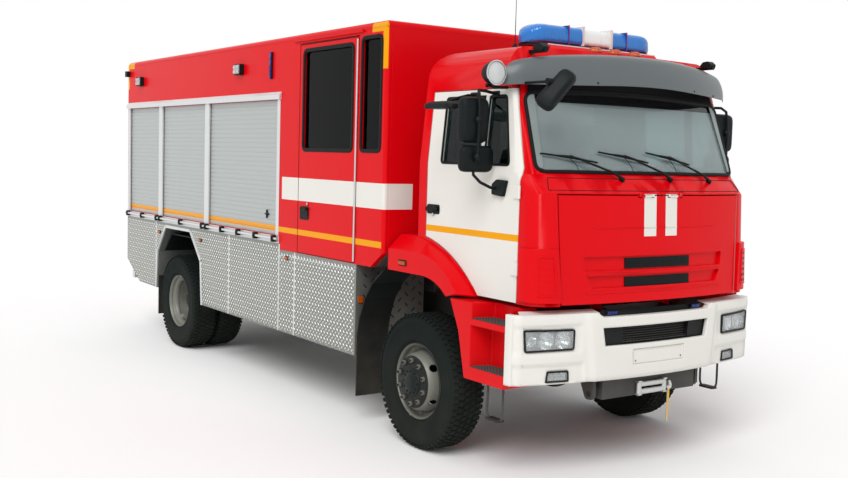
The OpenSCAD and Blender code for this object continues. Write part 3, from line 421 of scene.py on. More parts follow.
class Shape:
    def __init__(self):
        self.points, self.faces, self.slots = [], [], []

    def add(self, points, faces, slot=0):
        start = len(self.points)
        self.points += [Vector(p) for p in points]
        self.faces += [tuple(i + start for i in f) for f in faces]
        self.slots += [slot] * len(faces)
        return self

    def loft(self, rings, slot=0, round_trip=False, caps=True):
        n = len(rings[0])
        faces = []
        last = len(rings) if round_trip else len(rings) - 1
        for i in range(last):
            a, b = i * n, (i + 1) % len(rings) * n
            faces += [(a + j, a + (j + 1) % n, b + (j + 1) % n, b + j) for j in range(n)]
        if caps and not round_trip:
            faces += [tuple(reversed(range(n))), tuple(range((len(rings) - 1) * n, len(rings) * n))]
        return self.add([p for r in rings for p in r], faces, slot)

    def box(self, a, b, slot=0):
        ring = [(a[0], a[1]), (b[0], a[1]), (b[0], b[1]), (a[0], b[1])]
        return self.loft([[(x, y, a[2]) for x, y in ring], [(x, y, b[2]) for x, y in ring]], slot)

    def prism(self, outline, plane, start, end, slot=0):
        put = {"xz": lambda p, d: (p[0], d, p[1]), "yz": lambda p, d: (d, p[0], p[1]),
               "xy": lambda p, d: (p[0], p[1], d)}[plane]
        return self.loft([[put(p, d) for p in outline] for d in (start, end)], slot)

    def plate(self, corners, radius, plane, start, end, slot=0):
        return self.prism(rounded(rect(*corners), radius), plane, start, end, slot)

    def tube(self, path, radius, sides=12, slot=0, round_trip=False):
        path = [Vector(p) for p in path]
        rings = []
        count = len(path)
        first = None
        for i, p in enumerate(path):
            before = path[i - 1] if i or round_trip else p
            after = path[(i + 1) % count] if i < count - 1 or round_trip else p
            axis = (after - before).normalized()
            if first is None:
                first, second = ring_frame(axis)
            else:
                first = (first - axis * first.dot(axis)).normalized()
                second = axis.cross(first)
            r = radius[i] if isinstance(radius, (list, tuple)) else radius
            rings.append([p + r * (math.cos(t) * first + math.sin(t) * second)
                          for t in (2 * math.pi * k / sides for k in range(sides))])
        return self.loft(rings, slot, round_trip)

    def turned(self, profile, centre, axis="y", sides=48, slot=0, closed=False):
        spin = {"y": lambda r, h, t: (r * math.cos(t), h, r * math.sin(t)),
                "x": lambda r, h, t: (h, r * math.cos(t), r * math.sin(t)),
                "z": lambda r, h, t: (r * math.cos(t), r * math.sin(t), h)}[axis]
        centre = Vector(centre)
        rings = [[centre + Vector(spin(r, h, 2 * math.pi * k / sides)) for k in range(sides)]
                 for r, h in profile]
        return self.loft(rings, slot, round_trip=closed)

    def mirrored(self):
        count = len(self.points)
        self.points += [Vector((p.x, -p.y, p.z)) for p in self.points]
        self.faces += [tuple(i + count for i in reversed(f)) for f in self.faces]
        self.slots += self.slots
        return self

    def build(self, name, finishes, body, bevel=0.0, steps=2, smooth=35, replaces=()):
        mesh = bpy.data.meshes.new(name)
        mesh.from_pydata([(p.x + AXLE_X, p.y, p.z) for p in self.points], [], self.faces)
        for i, slot in enumerate(self.slots):
            mesh.polygons[i].material_index = slot
        return dress(name, mesh, finishes, body, bevel, steps, smooth, replaces)


print("shape collector ready")

# %% [markdown]
# ## From points to a finished piece
# Each mesh is welded, its sharp edges are rounded a little as on pressed sheet, and it is shaded
# smooth between them. A bevel modifier could do it too, but mesh code gives the final faces at
# once, and the few modifiers in use are applied.

# %% Weld, bevel and shade
SAME_POINT, SHARP = 1e-5, math.radians(28)


def dress(name, mesh, finishes, body, bevel=0.0, steps=2, smooth=35, replaces=(), clean=True):
    work = bmesh.new()
    work.from_mesh(mesh)
    if clean:
        bmesh.ops.remove_doubles(work, verts=work.verts, dist=SAME_POINT)
        bmesh.ops.recalc_face_normals(work, faces=work.faces)
    if bevel:
        sharp = [e for e in work.edges if len(e.link_faces) == 2 and e.calc_face_angle(0) > SHARP]
        bmesh.ops.bevel(work, geom=sharp, offset=bevel, offset_type="OFFSET", segments=steps, profile=0.5,
                        affect="EDGES", clamp_overlap=True)
    work.to_mesh(mesh)
    work.free()
    for label in finishes:
        mesh.materials.append(FINISH[label])
    piece = bpy.data.objects.new(name, mesh)
    bpy.context.scene.collection.objects.link(piece)
    soften(piece.data, smooth)
    if bevel:
        apply(piece, "WEIGHTED_NORMAL", keep_sharp=True)
    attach(piece, body)
    if replaces:
        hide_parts(*replaces)
    return piece


def soften(mesh, angle):
    mesh.polygons.foreach_set("use_smooth", [True] * len(mesh.polygons))
    mesh.set_sharp_from_angle(angle=math.radians(angle))


def apply(piece, kind, **settings):
    step = piece.modifiers.new(kind.lower(), kind)
    for key, value in settings.items():
        setattr(step, key, value)
    view = bpy.context.evaluated_depsgraph_get()
    result = bpy.data.meshes.new_from_object(piece.evaluated_get(view))
    piece.modifiers.clear()
    old, piece.data = piece.data, result
    bpy.data.meshes.remove(old)


print("piece tools ready")

# %% [markdown]
# ## Copies of the frame's solids
# Where a solid already has the right shape, a copy of it is enough. The frame's meshes are cut
# into triangles, so flat neighbours are joined first, and each face then takes a finish by its
# place.

# %% Copies of frame nodes
SAME_NODE_POINT, FLAT = 2e-5, math.radians(0.4)
BODY_OF = {n: b for b, names in frame["record"]["behaviour"]["bodies"].items() for n in names}
SIDES = (("right", -1), ("left", 1))


def middle(face):
    centre = face.calc_center_median()
    centre.x -= AXLE_X
    return centre


def node_mesh(node):
    mesh = NODES[node].data.copy()
    mesh.materials.clear()
    work = bmesh.new()
    work.from_mesh(mesh)
    bmesh.ops.remove_doubles(work, verts=work.verts, dist=SAME_NODE_POINT)
    bmesh.ops.dissolve_limit(work, angle_limit=FLAT, verts=work.verts, edges=work.edges)
    return mesh, work


def copy_node(node, finishes, bevel=0.0, steps=2, smooth=32, pick=None):
    mesh, work = node_mesh(node)
    for face in work.faces:
        face.material_index = pick(face) if pick else 0
    work.to_mesh(mesh)
    work.free()
    return dress(node + "_skin", mesh, finishes, BODY_OF[node], bevel, steps, smooth, [node])


print("copies ready for", len(BODY_OF), "nodes")

# %% [markdown]
# ## Bowed surfaces and pressed-in seals
# The cab front and the bumper are bowed in plan with round corners, and the cab leans back. Seals,
# lenses and trim have to lie on those surfaces, so their shape is written once as a function.
# A seal is then a low section carried along a closed outline.

# %% Surface functions
def bowed_x(y, nose, half, bow, corner):
    y = abs(y)
    inner = half - corner
    deep = math.sqrt((bow - corner) ** 2 - inner ** 2) - bow
    if y < inner * bow / (bow - corner):
        return nose + math.sqrt(bow * bow - y * y) - bow
    return nose + deep + math.sqrt(max(corner ** 2 - (y - inner) ** 2, 0))


CAB_BOW = 5.9
CAB_PLAN = dict(half=1.102, bow=CAB_BOW, corner=0.17)
SCREEN_LEAN, SCREEN_FOOT = 20, (1.19866, 2.150)
PANEL_LEAN, PANEL_FOOT = 2.5, (1.335, 1.255)
BUMPER_NOSE, BUMPER_PLAN = 1.345, dict(half=1.235, bow=4.7, corner=0.092)
BODY_SIDE = 1.25


def cab_face(y, up, out, lean, foot):
    x = bowed_x(y, 0, **CAB_PLAN) + out
    c, s = math.cos(math.radians(lean)), math.sin(math.radians(lean))
    return Vector((foot[0] + x * c - up * s, y, foot[1] + x * s + up * c))


def screen_at(y, up, out=0.0):
    return cab_face(y, up, out, SCREEN_LEAN, SCREEN_FOOT)


def panel_at(y, z, out=0.0):
    up = (z - PANEL_FOOT[1]) / math.cos(math.radians(PANEL_LEAN))
    return cab_face(y, up, out, PANEL_LEAN, PANEL_FOOT)


def bumper_at(y, z, out=0.0):
    step = 1e-3
    slope = (bowed_x(y + step, 0, **BUMPER_PLAN) - bowed_x(y - step, 0, **BUMPER_PLAN)) / (2 * step)
    away = Vector((1, -slope, 0)).normalized()
    return Vector((bowed_x(y, BUMPER_NOSE, **BUMPER_PLAN), y, z)) + away * out


def side_at(x, z, out, side):
    return Vector((x, side * (BODY_SIDE + out), z))


def outward(surface, u, v):
    return (surface(u, v, 0.02) - surface(u, v, 0.0)).normalized()


print("surface functions ready")

# %% Outlines, seals and sheets
def rounded(corners, radius, steps=5):
    made = []
    for i, corner in enumerate(corners):
        here = Vector(corner)
        before = Vector(corners[i - 1]) - here
        after = Vector(corners[(i + 1) % len(corners)]) - here
        cut = min(radius, before.length * 0.45, after.length * 0.45)
        a, b = here + before.normalized() * cut, here + after.normalized() * cut
        for k in range(steps + 1):
            t = k / steps
            made.append((1 - t) ** 2 * a + 2 * t * (1 - t) * here + t * t * b)
    return made


def fine(outline, gap):
    made = []
    for i, start in enumerate(outline):
        end = outline[(i + 1) % len(outline)]
        count = max(1, math.ceil((end - start).length / gap))
        made += [start.lerp(end, k / count) for k in range(count)]
    return made


def seal(shape, outline, surface, width, height, slot=0, sink=0.004):
    path = [surface(p[0], p[1], 0.0) for p in outline]
    rings = []
    for i, p in enumerate(path):
        along = (path[(i + 1) % len(path)] - path[i - 1]).normalized()
        n = outward(surface, outline[i][0], outline[i][1])
        across = along.cross(n).normalized() * width / 2
        rings.append([p - across - n * sink, p + across - n * sink,
                      p + across * 0.92 + n * height * 0.6, p + across * 0.5 + n * height,
                      p - across * 0.5 + n * height, p - across * 0.92 + n * height * 0.6])
    return shape.loft(rings, slot, round_trip=True)


def sheet_on(shape, outline, surface, near, far, slot=0):
    rings = [[surface(p[0], p[1], out) for p in outline] for out in (near, far)]
    return shape.loft(rings, slot)


STRIPS = 24


def strips_on(shape, foot, head, surface, near, far):
    for k in range(STRIPS):
        left, right = 2 * k / STRIPS - 1, 2 * (k + 1) / STRIPS - 1
        strip = [(left * foot[0], foot[1]), (right * foot[0], foot[1]),
                 (right * head[0], head[1]), (left * head[0], head[1])]
        sheet_on(shape, [Vector(p) for p in strip], surface, near, far)


def rect(x0, z0, x1, z1):
    return [(x0, z0), (x1, z0), (x1, z1), (x0, z1)]


print("outline tools ready")

# %% [markdown]
# ## Studs, nuts, rivets and lozenges
# Checker plate, wheel nuts, rivets and tread blocks are all one small shape set down many times.
# Placing copies by hand would be slow to change, so a Geometry Nodes tree sets a tapered stud on
# each point, turned and sized by the point's own attributes.

# %% Stud tree
studs_tree = bpy.data.node_groups.new("stud_pattern", "GeometryNodeTree")
for label, kind in (("Points", "Geometry"), ("Sides", "Int"), ("Taper", "Float"), ("Block", "Bool"),
                    ("Finish", "Material")):
    studs_tree.interface.new_socket(label, in_out="INPUT", socket_type="NodeSocket" + kind)
studs_tree.interface.new_socket("Studs", in_out="OUTPUT", socket_type="NodeSocketGeometry")
g = Graph(studs_tree)
given = g.node("NodeGroupInput").outputs
cone = g.node("GeometryNodeMeshCone", fill_type="NGON")
g.put(cone.inputs["Vertices"], given["Sides"])
g.put(cone.inputs["Radius Top"], given["Taper"])
g.put(cone.inputs["Radius Bottom"], 1.0)
g.put(cone.inputs["Depth"], 1.0)
block = g.node("GeometryNodeMeshCube")
g.put(block.inputs["Size"], (2.0, 2.0, 1.0))
lift = g.node("GeometryNodeTransform")
g.put(lift.inputs["Geometry"], block.outputs["Mesh"])
g.put(lift.inputs["Translation"], (0, 0, 0.5))
choose = g.node("GeometryNodeSwitch", input_type="GEOMETRY")
g.put(choose.inputs["Switch"], given["Block"])
g.put(choose.inputs["False"], cone.outputs["Mesh"])
g.put(choose.inputs["True"], lift.outputs["Geometry"])
turn = g.node("GeometryNodeInputNamedAttribute", data_type="FLOAT_VECTOR")
turn.inputs["Name"].default_value = "turn"
to_turn = g.node("FunctionNodeEulerToRotation")
g.put(to_turn.inputs[0], turn.outputs["Attribute"])
size = g.node("GeometryNodeInputNamedAttribute", data_type="FLOAT_VECTOR")
size.inputs["Name"].default_value = "size"
spread = g.node("GeometryNodeInstanceOnPoints")
g.put(spread.inputs["Points"], given["Points"])
g.put(spread.inputs["Instance"], choose.outputs["Output"])
g.put(spread.inputs["Rotation"], to_turn.outputs[0])
g.put(spread.inputs["Scale"], size.outputs["Attribute"])
real = g.node("GeometryNodeRealizeInstances")
g.put(real.inputs["Geometry"], spread.outputs["Instances"])
coat = g.node("GeometryNodeSetMaterial")
g.put(coat.inputs["Geometry"], real.outputs["Geometry"])
g.put(coat.inputs["Material"], given["Finish"])
g.put(g.node("NodeGroupOutput").inputs["Studs"], coat.outputs["Geometry"])
print("stud tree nodes", len(studs_tree.nodes))

# %% Setting studs
def studs(name, places, finish_name, body, sides=8, taper=0.5, block=False):
    points = bpy.data.meshes.new(name + "_points")
    points.from_pydata([(p[0] + AXLE_X, p[1], p[2]) for p, *_ in places], [], [])
    for label, values in (("turn", []), ("size", [])):
        for _, away, along, extent in places:
            n = Vector(away).normalized()
            u = (Vector(along) - n * n.dot(Vector(along))).normalized()
            basis = Matrix((u, n.cross(u), n)).transposed()
            values += list(basis.to_euler()) if label == "turn" else list(extent)
        points.attributes.new(label, "FLOAT_VECTOR", "POINT").data.foreach_set("vector", values)
    holder = bpy.data.objects.new(name, points)
    bpy.context.scene.collection.objects.link(holder)
    step = holder.modifiers.new("studs", "NODES")
    step.node_group = studs_tree
    ids = {s.name: s.identifier for s in studs_tree.interface.items_tree if s.in_out == "INPUT"}
    for label, value in (("Sides", sides), ("Taper", taper), ("Block", block),
                         ("Finish", FINISH[finish_name])):
        step[ids[label]] = value
    view = bpy.context.evaluated_depsgraph_get()
    mesh = bpy.data.meshes.new_from_object(holder.evaluated_get(view))
    bpy.data.objects.remove(holder)
    dress(name, mesh, [], body, smooth=30, clean=False)
    print(name, len(places), "studs")


# %% [markdown]
# ## Body panels
# The body is a painted steel box with pressed edges. The frame's own solids have the right size,
# so copies of them get small rounded edges, which catch light as folded sheet does.

# %% Painted body panels
DOOR_SKIN, DOOR_EDGE, HINGE_EDGE, HINGE_REAR = BODY_SIDE + 0.0001, -0.89, -0.8855, -1.2


def crew_door_slot(face):
    x, y = middle(face).x, abs(middle(face).y)
    if y < DOOR_SKIN and x < DOOR_EDGE:
        return 0
    if y > DOOR_SKIN or x > HINGE_EDGE:
        return 1 if x > HINGE_REAR else 2
    return 0


for name, _ in SIDES:
    copy_node("body_side_" + name, ["paint_body"], bevel=0.004)
    copy_node("crew_door_" + name, ["paint_body", "steel_bright", "plastic_black"], bevel=0.004,
              pick=crew_door_slot)
copy_node("body_roof", ["paint_body"], smooth=40)
copy_node("body_end_walls", ["paint_wall"], bevel=0.003)
print("painted panels made")

# %% [markdown]
# ## Window rubber, gutter and door trim
# Each window sits in a black rubber section that stands proud of the paint. Over the crew door
# there is a rain gutter, and below it a recessed pull handle with a key lock. A round curve could
# stand for the rubber, but a section carried along the outline keeps its flat foot and soft crown.

# %% Crew door and window trim
for name, side in SIDES:
    on_side = lambda x, z, out=0.0: side_at(x, z, out, side)
    rubber = Shape()
    seal(rubber, rounded(rect(-1.815, 2.279, -0.962, 3.155), 0.05), on_side, 0.036, 0.007)
    seal(rubber, rounded(rect(-1.884, 1.352, -0.888, 3.208), 0.02), on_side, 0.007, 0.002)
    rubber.build("crew_door_seal_" + name, ["rubber_seal"], "crew_door_" + name)
    rubber = Shape()
    seal(rubber, rounded(rect(-0.826, 2.281, -0.527, 3.191), 0.045), on_side, 0.034, 0.007)
    rubber.build("narrow_window_seal_" + name, ["rubber_seal"], "chassis")
    trim = Shape()
    trim.prism([(side * 1.249, 3.232), (side * 1.27, 3.238), (side * 1.272, 3.262), (side * 1.264, 3.262),
                (side * 1.262, 3.246), (side * 1.249, 3.244)], "yz", -1.97, -0.80)
    trim.build("rain_gutter_" + name, ["paint_body"], "chassis", bevel=0.002)
    pull = Shape()
    sheet_on(pull, rounded(rect(-1.845, 1.655, -1.675, 1.775), 0.025), on_side, -0.003, 0.004)
    pull.turned([(0.0, 0.004 * side), (0.014, 0.004 * side), (0.014, 0.010 * side), (0.0, 0.011 * side)],
                (-1.70, side * 1.25, 1.80), "y", 24, 1)
    sheet_on(pull, rounded(rect(-1.80, 1.742, -1.69, 1.764), 0.01), on_side, 0.003, 0.03)
    pull.build("crew_door_pull_" + name, ["plastic_black", "steel_bright"], "crew_door_" + name, bevel=0.002)
print("crew door trim made")

# %% [markdown]
# ## Roller shutters
# The curtains are already slatted. Around them run pale aluminium guides with a rail below, and
# a lift bar with black stops locks each curtain at its foot. Both sides are alike, so each shape
# is made once and mirrored.

# %% Shutter guides and stops
SHUTTERS = [(-6.375, -5.315), (-5.275, -3.97), (-3.93, -2.285)]
STOPS = [start + 0.035 + (end - start - 0.07) * i / n
         for (start, end), n in zip(SHUTTERS, (2, 2, 4)) for i in range(n + 1)]
copy_node("shutters", ["alu_slat"], smooth=25)
copy_node("lift_bars", ["alu_trim"], bevel=0.003)
guides = Shape()
LIP, GUIDE_FOOT, GUIDE_TOP = 0.005, 1.470, 2.740
for rear, ahead, lips in ((-6.400, -6.343, "f"), (-5.348, -5.242, "rf"), (-4.003, -3.897, "rf"),
                          (-2.317, -2.260, "r")):
    guides.prism(rect(rear, GUIDE_FOOT, ahead, GUIDE_TOP), "xz", 1.2495, 1.2542)
    if "r" in lips:
        guides.prism(rect(rear, GUIDE_FOOT, rear + LIP, GUIDE_TOP), "xz", 1.236, 1.2500)
    if "f" in lips:
        guides.prism(rect(ahead - LIP, GUIDE_FOOT, ahead, GUIDE_TOP), "xz", 1.236, 1.2500)
guides.prism(rect(-6.410, 1.4005, -2.250, 1.4685), "xz", 1.2495, 1.2530)
guides.mirrored().build("shutter_guides", ["alu_trim"], "chassis", bevel=0.001, steps=1)
stops = Shape()
for x in STOPS:
    stops.plate((x - 0.023, 1.410, x + 0.023, 1.474), 0.012, "xz", 1.2500, 1.2925)
    stops.turned([(0.0, 0.0424), (0.012, 0.0424), (0.010, 0.050), (0.0, 0.051)], (x, 1.25, 1.442), "y", 16)
stops.mirrored().build("shutter_stops", ["plastic_black"], "chassis", bevel=0.003)
latch = Shape()
for x0, z0, x1, z1 in ((-2.545, 1.62, -2.533, 1.70), (-2.575, 1.654, -2.503, 1.666)):
    latch.box((x0, 1.227, z0), (x1, 1.243, z1))
latch.mirrored().build("shutter_latch", ["plastic_black"], "chassis", bevel=0.002)
print("shutter trim made", len(STOPS))

# %% [markdown]
# ## Checker plate lockers
# The lockers below the body are pressed aluminium plate with small raised lozenges in turn to
# the left and the right. A bump texture would be flat at the edges, so each lozenge is a stud.

# %% Outline of the lockers
SKIRT = [(-0.85, 0.58), (-4.05, 0.58), (-4.088, 1.05), (-4.38, 1.345), (-5.097, 1.345),
         (-5.343, 1.047), (-5.376, 0.614), (-5.975, 0.62), (-6.42, 0.865), (-6.42, 1.40),
         (-2.24, 1.40), (-2.24, 1.345), (-0.85, 1.345)]
PLATE_SEAMS = [(-2.24, 0.58, 1.40), (-1.93, 0.58, 1.345), (-3.36, 0.58, 1.40), (-5.42, 0.62, 1.40)]


def inside(outline, x, z):
    found = False
    for (x0, z0), (x1, z1) in zip(outline, outline[1:] + outline[:1]):
        if (z0 > z) != (z1 > z) and x < (x1 - x0) * (z - z0) / (z1 - z0) + x0:
            found = not found
    return found


def clear_of_edge(x, z, margin):
    near_seam = any(abs(x - s) < margin and a < z < b for s, a, b in PLATE_SEAMS)
    return not near_seam and all(inside(SKIRT, x + dx, z + dz) for dx, dz in
                                 ((margin, 0), (-margin, 0), (0, margin), (0, -margin)))


print("plate seams", len(PLATE_SEAMS))

# %% Plate and lozenges
copy_node("skirts", ["alu_plate"], bevel=0.003)
PITCH, PLATE_LONG, PLATE_HIGH = 0.0275, 5.6, 0.84
LOZENGE, EDGE_ROOM = (0.0165, 0.0062, 0.0042), 0.016
for name, side in SIDES:
    places = []
    for i in range(int(PLATE_LONG / PITCH)):
        for k in range(int(PLATE_HIGH / PITCH)):
            x, z = -0.862 - i * PITCH, 0.59 + k * PITCH
            if (i + k) % 2 == 0 and clear_of_edge(x, z, EDGE_ROOM):
                along = (0.8, 0, 0.8 if i % 2 else -0.8)
                places.append(((x, side * 1.2498, z), (0, side, 0), along, LOZENGE))
    # The lozenges take a brighter finish than the plate, as painted glints.
    studs("plate_lozenges_" + name, places, "alu_stud_glint", "chassis", sides=8, taper=0.45)

# %% Plate trim and rivets
trim = Shape()
for x, z0, z1 in PLATE_SEAMS:
    strip = [(x - 0.011, 1.249), (x + 0.011, 1.249), (x + 0.009, 1.2535), (x - 0.009, 1.2535)]
    trim.prism(strip, "xy", z0 + 0.004, z1 - 0.004)
trim.prism(rect(-2.23, 1.290, -0.86, 1.296), "xz", 1.249, 1.2525)
arch = [Vector(p) for p in SKIRT[1:7]]
for a, b in zip(arch, arch[1:]):
    away = Vector((-(b - a).y, (b - a).x)).normalized() * 0.030
    trim.loft([[(p.x, y, p.y) for y in (1.249, 1.262)] + [(q.x, y, q.y) for y in (1.262, 1.249)]
               for p, q in ((a, a - away), (b, b - away))])
trim.mirrored().build("plate_trim", ["alu_trim"], "chassis", bevel=0.0015, steps=1)
RIVET, SEAM_PITCH, EDGE_PITCH = (0.006, 0.006, 0.0045), 0.09, 0.11
rivets = []
for x, z0, z1 in PLATE_SEAMS:
    rivets += [(x, z0 + 0.03 + k * SEAM_PITCH) for k in range(int((z1 - z0 - 0.03) / SEAM_PITCH))]
for z, count in ((0.60, 28), (1.318, 12)):
    rivets += [(-0.87 - k * EDGE_PITCH, z) for k in range(count)]
heads = [((x, side * 1.2505, z), (0, side, 0), (1, 0, 0), RIVET)
         for x, z in rivets for side in (-1, 1)]
studs("plate_rivets", heads, "steel_bright", "chassis", sides=10, taper=0.55)
ends = []
for i in range(9):
    for k in range(16):
        y, z = 0.60 + i * 0.07, 0.62 + k * 0.045
        if (i + k) % 2 == 0:
            along = (0, 0.8, 0.8 if i % 2 else -0.8)
            ends += [((-0.8502, side * y, z), (1, 0, 0), along, (0.028, 0.008, 0.003)) for side in (-1, 1)]
studs("front_end_lozenges", ends, "steel_dark", "chassis", sides=8, taper=0.45)

# %% [markdown]
# ## Wheels
# The tyres have a fine block tread with open shoulders. The carcass is one turned profile, and the
# blocks are set round it as studs. The rims keep the frame's shape; nuts and a hub cover are added.

# %% Tyres with tread blocks
TYRE_R, REAR_AXLE = 0.525, -4.8
half_section = [(0.2866, 0.104), (0.299, 0.1068), (0.3005, 0.113), (0.310, 0.123), (0.322, 0.1285),
                (0.328, 0.1325), (0.334, 0.1315), (0.352, 0.1345), (0.395, 0.1385), (0.440, 0.140),
                (0.446, 0.1418), (0.452, 0.1400), (0.474, 0.136), (0.492, 0.128), (0.506, 0.118),
                (0.5135, 0.098), (0.516, 0.05), (0.516, 0.0)]
section = half_section + [(r, -h) for r, h in reversed(half_section[:-1])]
section += [(0.40, -0.08), (0.47, 0.0), (0.40, 0.08)]
WHEELS = {"front_tyre_right": (0, [-1.075]), "front_tyre_left": (0, [1.075]),
          "rear_tyres_right": (REAR_AXLE, [-1.09, -0.77]), "rear_tyres_left": (REAR_AXLE, [1.09, 0.77])}
COUNT = 64
# Offset from the middle, phase, half length, half width, skew, tilt, radius at the foot, height
ROWS = [(0.028, 0.0, 0.0165, 0.020, 20, 0.0, 0.5075, 0.0165),
        (0.080, 0.5, 0.018, 0.021, -18, 0.0, 0.5075, 0.0165),
        (0.1165, 0.0, 0.0140, 0.017, 0, 0.36, 0.4985, 0.0155)]
for node, (wx, centres) in WHEELS.items():
    carcass, blocks = Shape(), []
    for wy in centres:
        carcass.turned(section, (wx, wy, TYRE_R), "y", 96, 0, closed=True)
        for offset, phase, long_half, wide_half, skew, tilt, reach, height in ROWS:
            for hand in (-1, 1):
                for k in range(COUNT):
                    t = 2 * math.pi * (k + phase + (0.5 if hand > 0 else 0)) / COUNT
                    out = Vector((math.cos(t), 0, math.sin(t)))
                    away = (out + Vector((0, hand * tilt, 0))).normalized()
                    along = Vector((-math.sin(t), hand * math.tan(math.radians(skew)), math.cos(t)))
                    foot = Vector((wx, wy + hand * offset, TYRE_R)) + out * reach
                    blocks.append((foot, away, along, (long_half, wide_half, height)))
    carcass.build(node + "_carcass", ["rubber_tyre"], BODY_OF[node], smooth=50, replaces=[node])
    studs(node + "_tread", blocks, "rubber_tyre", BODY_OF[node], block=True)

# %% Rims, hubs and nuts
NUTS, NUT_RING = 10, 0.1675
SCREWS, SCREW_RING = 12, 0.088
HUB_R = 0.198
FRONT_DISH = [(0.0, 0.203), (0.040, 0.203), (0.058, 0.198), (0.072, 0.186), (0.105, 0.181), (0.110, 0.172),
              (0.118, 0.170), (0.135, 0.168), (0.196, 0.166), (0.202, 0.161), (0.202, 0.158), (0.0, 0.158)]
REAR_DISH = [(0.0, 0.004), (0.045, 0.004), (0.070, -0.002), (0.092, -0.016), (0.096, -0.03), (0.097, -0.10),
             (0.120, -0.125), (0.125, -0.146), (0.202, -0.1465), (0.202, -0.1485), (0.0, -0.1485)]


def bolt_ring(centre, count, phase, radius, reach):
    angles = [2 * math.pi * (k + phase) / count for k in range(count)]
    return [(Vector(centre) + Vector((radius * math.cos(t), reach, radius * math.sin(t))), t) for t in angles]


for name, side in SIDES:
    for node, wx, wy, dish, foot, screw_lift in (
            ("front_rim_" + name, 0.0, 1.075, FRONT_DISH, 0.166, 0.016),
            ("rear_rims_" + name, REAR_AXLE, 1.09, REAR_DISH, -0.147, 0.13)):
        body = BODY_OF[node]
        copy_node(node, ["steel_rim", "steel_hub"], smooth=30,
                  pick=lambda f: 1 if math.hypot(middle(f).x - wx, middle(f).z - TYRE_R) < HUB_R else 0)
        centre, away = (wx, side * wy, TYRE_R), (0, side, 0)
        hub = Shape()
        hub.turned([(r, side * h) for r, h in dish], centre, "y", 64)
        hub.build("hub_cover_" + node, ["steel_hub"], body, smooth=40)
        ring = bolt_ring(centre, NUTS, 0.5, NUT_RING, side * foot)
        small = bolt_ring(centre, SCREWS, 0, SCREW_RING, side * (foot + screw_lift))
        ends = [p + Vector((0, side * 0.022, 0)) for p, _ in ring]
        studs("nuts_" + node,
              [(p, away, (math.cos(t), 0, math.sin(t)), (0.0195, 0.0195, 0.024)) for p, t in ring],
              "steel_rim", body, sides=6, taper=0.94)
        # The washers are black as painted shade round each nut.
        studs("nut_washers_painted_shade_" + node,
              [(p, away, (1, 0, 0), (0.029, 0.029, 0.006)) for p, _ in ring]
              + [(p, away, (1, 0, 0), (0.011, 0.011, 0.012)) for p in ends],
              "rubber_seal", body, sides=16, taper=0.9)
        studs("hub_screws_" + node, [(p, away, (1, 0, 0), (0.007, 0.007, 0.010)) for p, _ in small],
              "steel_hub", body, sides=6, taper=0.9)
print("wheels made")

# %% [markdown]
# ## Cab skin
# The cab is pressed steel: a shell, two white doors, a red front panel that lifts, corner
# deflectors and fenders. Copies of the frame's solids get rolled edges so the joints read as gaps.

# %% Cab panels
CAB_MIDDLE = Vector((0.45, 0, 2.1))
LINING_SIDE, LINING_FOOT, LINING_TOP = 1.075, 1.33, 3.02
DOOR_FACE, HINGE_AHEAD = 1.1005, 0.2


def cab_slot(face):
    spot = middle(face)
    inner = (spot - CAB_MIDDLE).dot(face.normal) < 0
    return 1 if inner and abs(spot.y) < LINING_SIDE and LINING_FOOT < spot.z < LINING_TOP else 0


copy_node("cab_shell", ["paint_panel", "cab_lining"], bevel=0.002, smooth=30, pick=cab_slot)
copy_node("cab_fenders", ["paint_cab"], bevel=0.004, smooth=38)
copy_node("front_panel", ["paint_panel"], bevel=0.005, smooth=32)
copy_node("step_panels", ["paint_cab"], bevel=0.008, steps=3)
for name, _ in SIDES:
    copy_node("cab_door_" + name, ["paint_door", "plastic_black"], bevel=0.003,
              pick=lambda f: 1 if abs(middle(f).y) > DOOR_FACE and middle(f).x < HINGE_AHEAD else 0)
print("cab panels made")

# %% [markdown]
# ## Screen rubber, cowl strip and grille
# A thick rubber holds the bowed windscreen, with a dark band above and a strip in the tone of the
# glass at each side. The band is partly rubber and partly painted shadow of the visor on the cab
# header. Under it lies a separate cowl strip with a dark seam, and in the front panel two dark
# inlets with thin bars across them. A wide flat face would cut through the bow, so the band and the
# inlets are made of narrow strips.

# %% Windscreen rubber and cowl
SCREEN = [(-1.012, 0.052), (-0.5, 0.028), (0.0, 0.022), (0.5, 0.028), (1.012, 0.052), (0.990, 0.625),
          (-0.990, 0.625)]
outline = fine(rounded(SCREEN, 0.07), 0.05)
rubber = Shape()
seal(rubber, outline, screen_at, 0.026, 0.012, sink=0.02)
# The dark band over the cab header is partly rubber and partly painted shadow of the visor.
strips_on(rubber, (0.965, 0.622), (0.930, 0.765), screen_at, -0.003, 0.008)
for side in (-1, 1):
    edge = [(side * 0.960, 0.075), (side * 1.004, 0.075), (side * 0.984, 0.615), (side * 0.915, 0.615)]
    sheet_on(rubber, fine([Vector(p) for p in edge], 0.05), screen_at, -0.003, 0.004, 1)
rubber.build("screen_rubber", ["rubber_seal", "screen_edge"], "cab", smooth=50)


def cowl_at(y, z, out=0.0):
    c, s = math.cos(math.radians(40)), math.sin(math.radians(40))
    x = bowed_x(y, 0, 1.125, CAB_BOW * 1.22, 0.20) + out
    up = (z - 2.034 - x * s) / c
    return Vector((1.302 + x * c - up * s, y, 2.034 + x * s + up * c))


seam = Shape()
seal(seam, fine(rounded([(-0.99, 2.046), (0.99, 2.046), (0.955, 2.128), (-0.955, 2.128)], 0.012), 0.06),
     cowl_at, 0.006, 0.0016, sink=0.002)
seam.build("cowl_seam", ["rubber_seal"], "cab", smooth=50)
print("screen rubber made", len(outline))

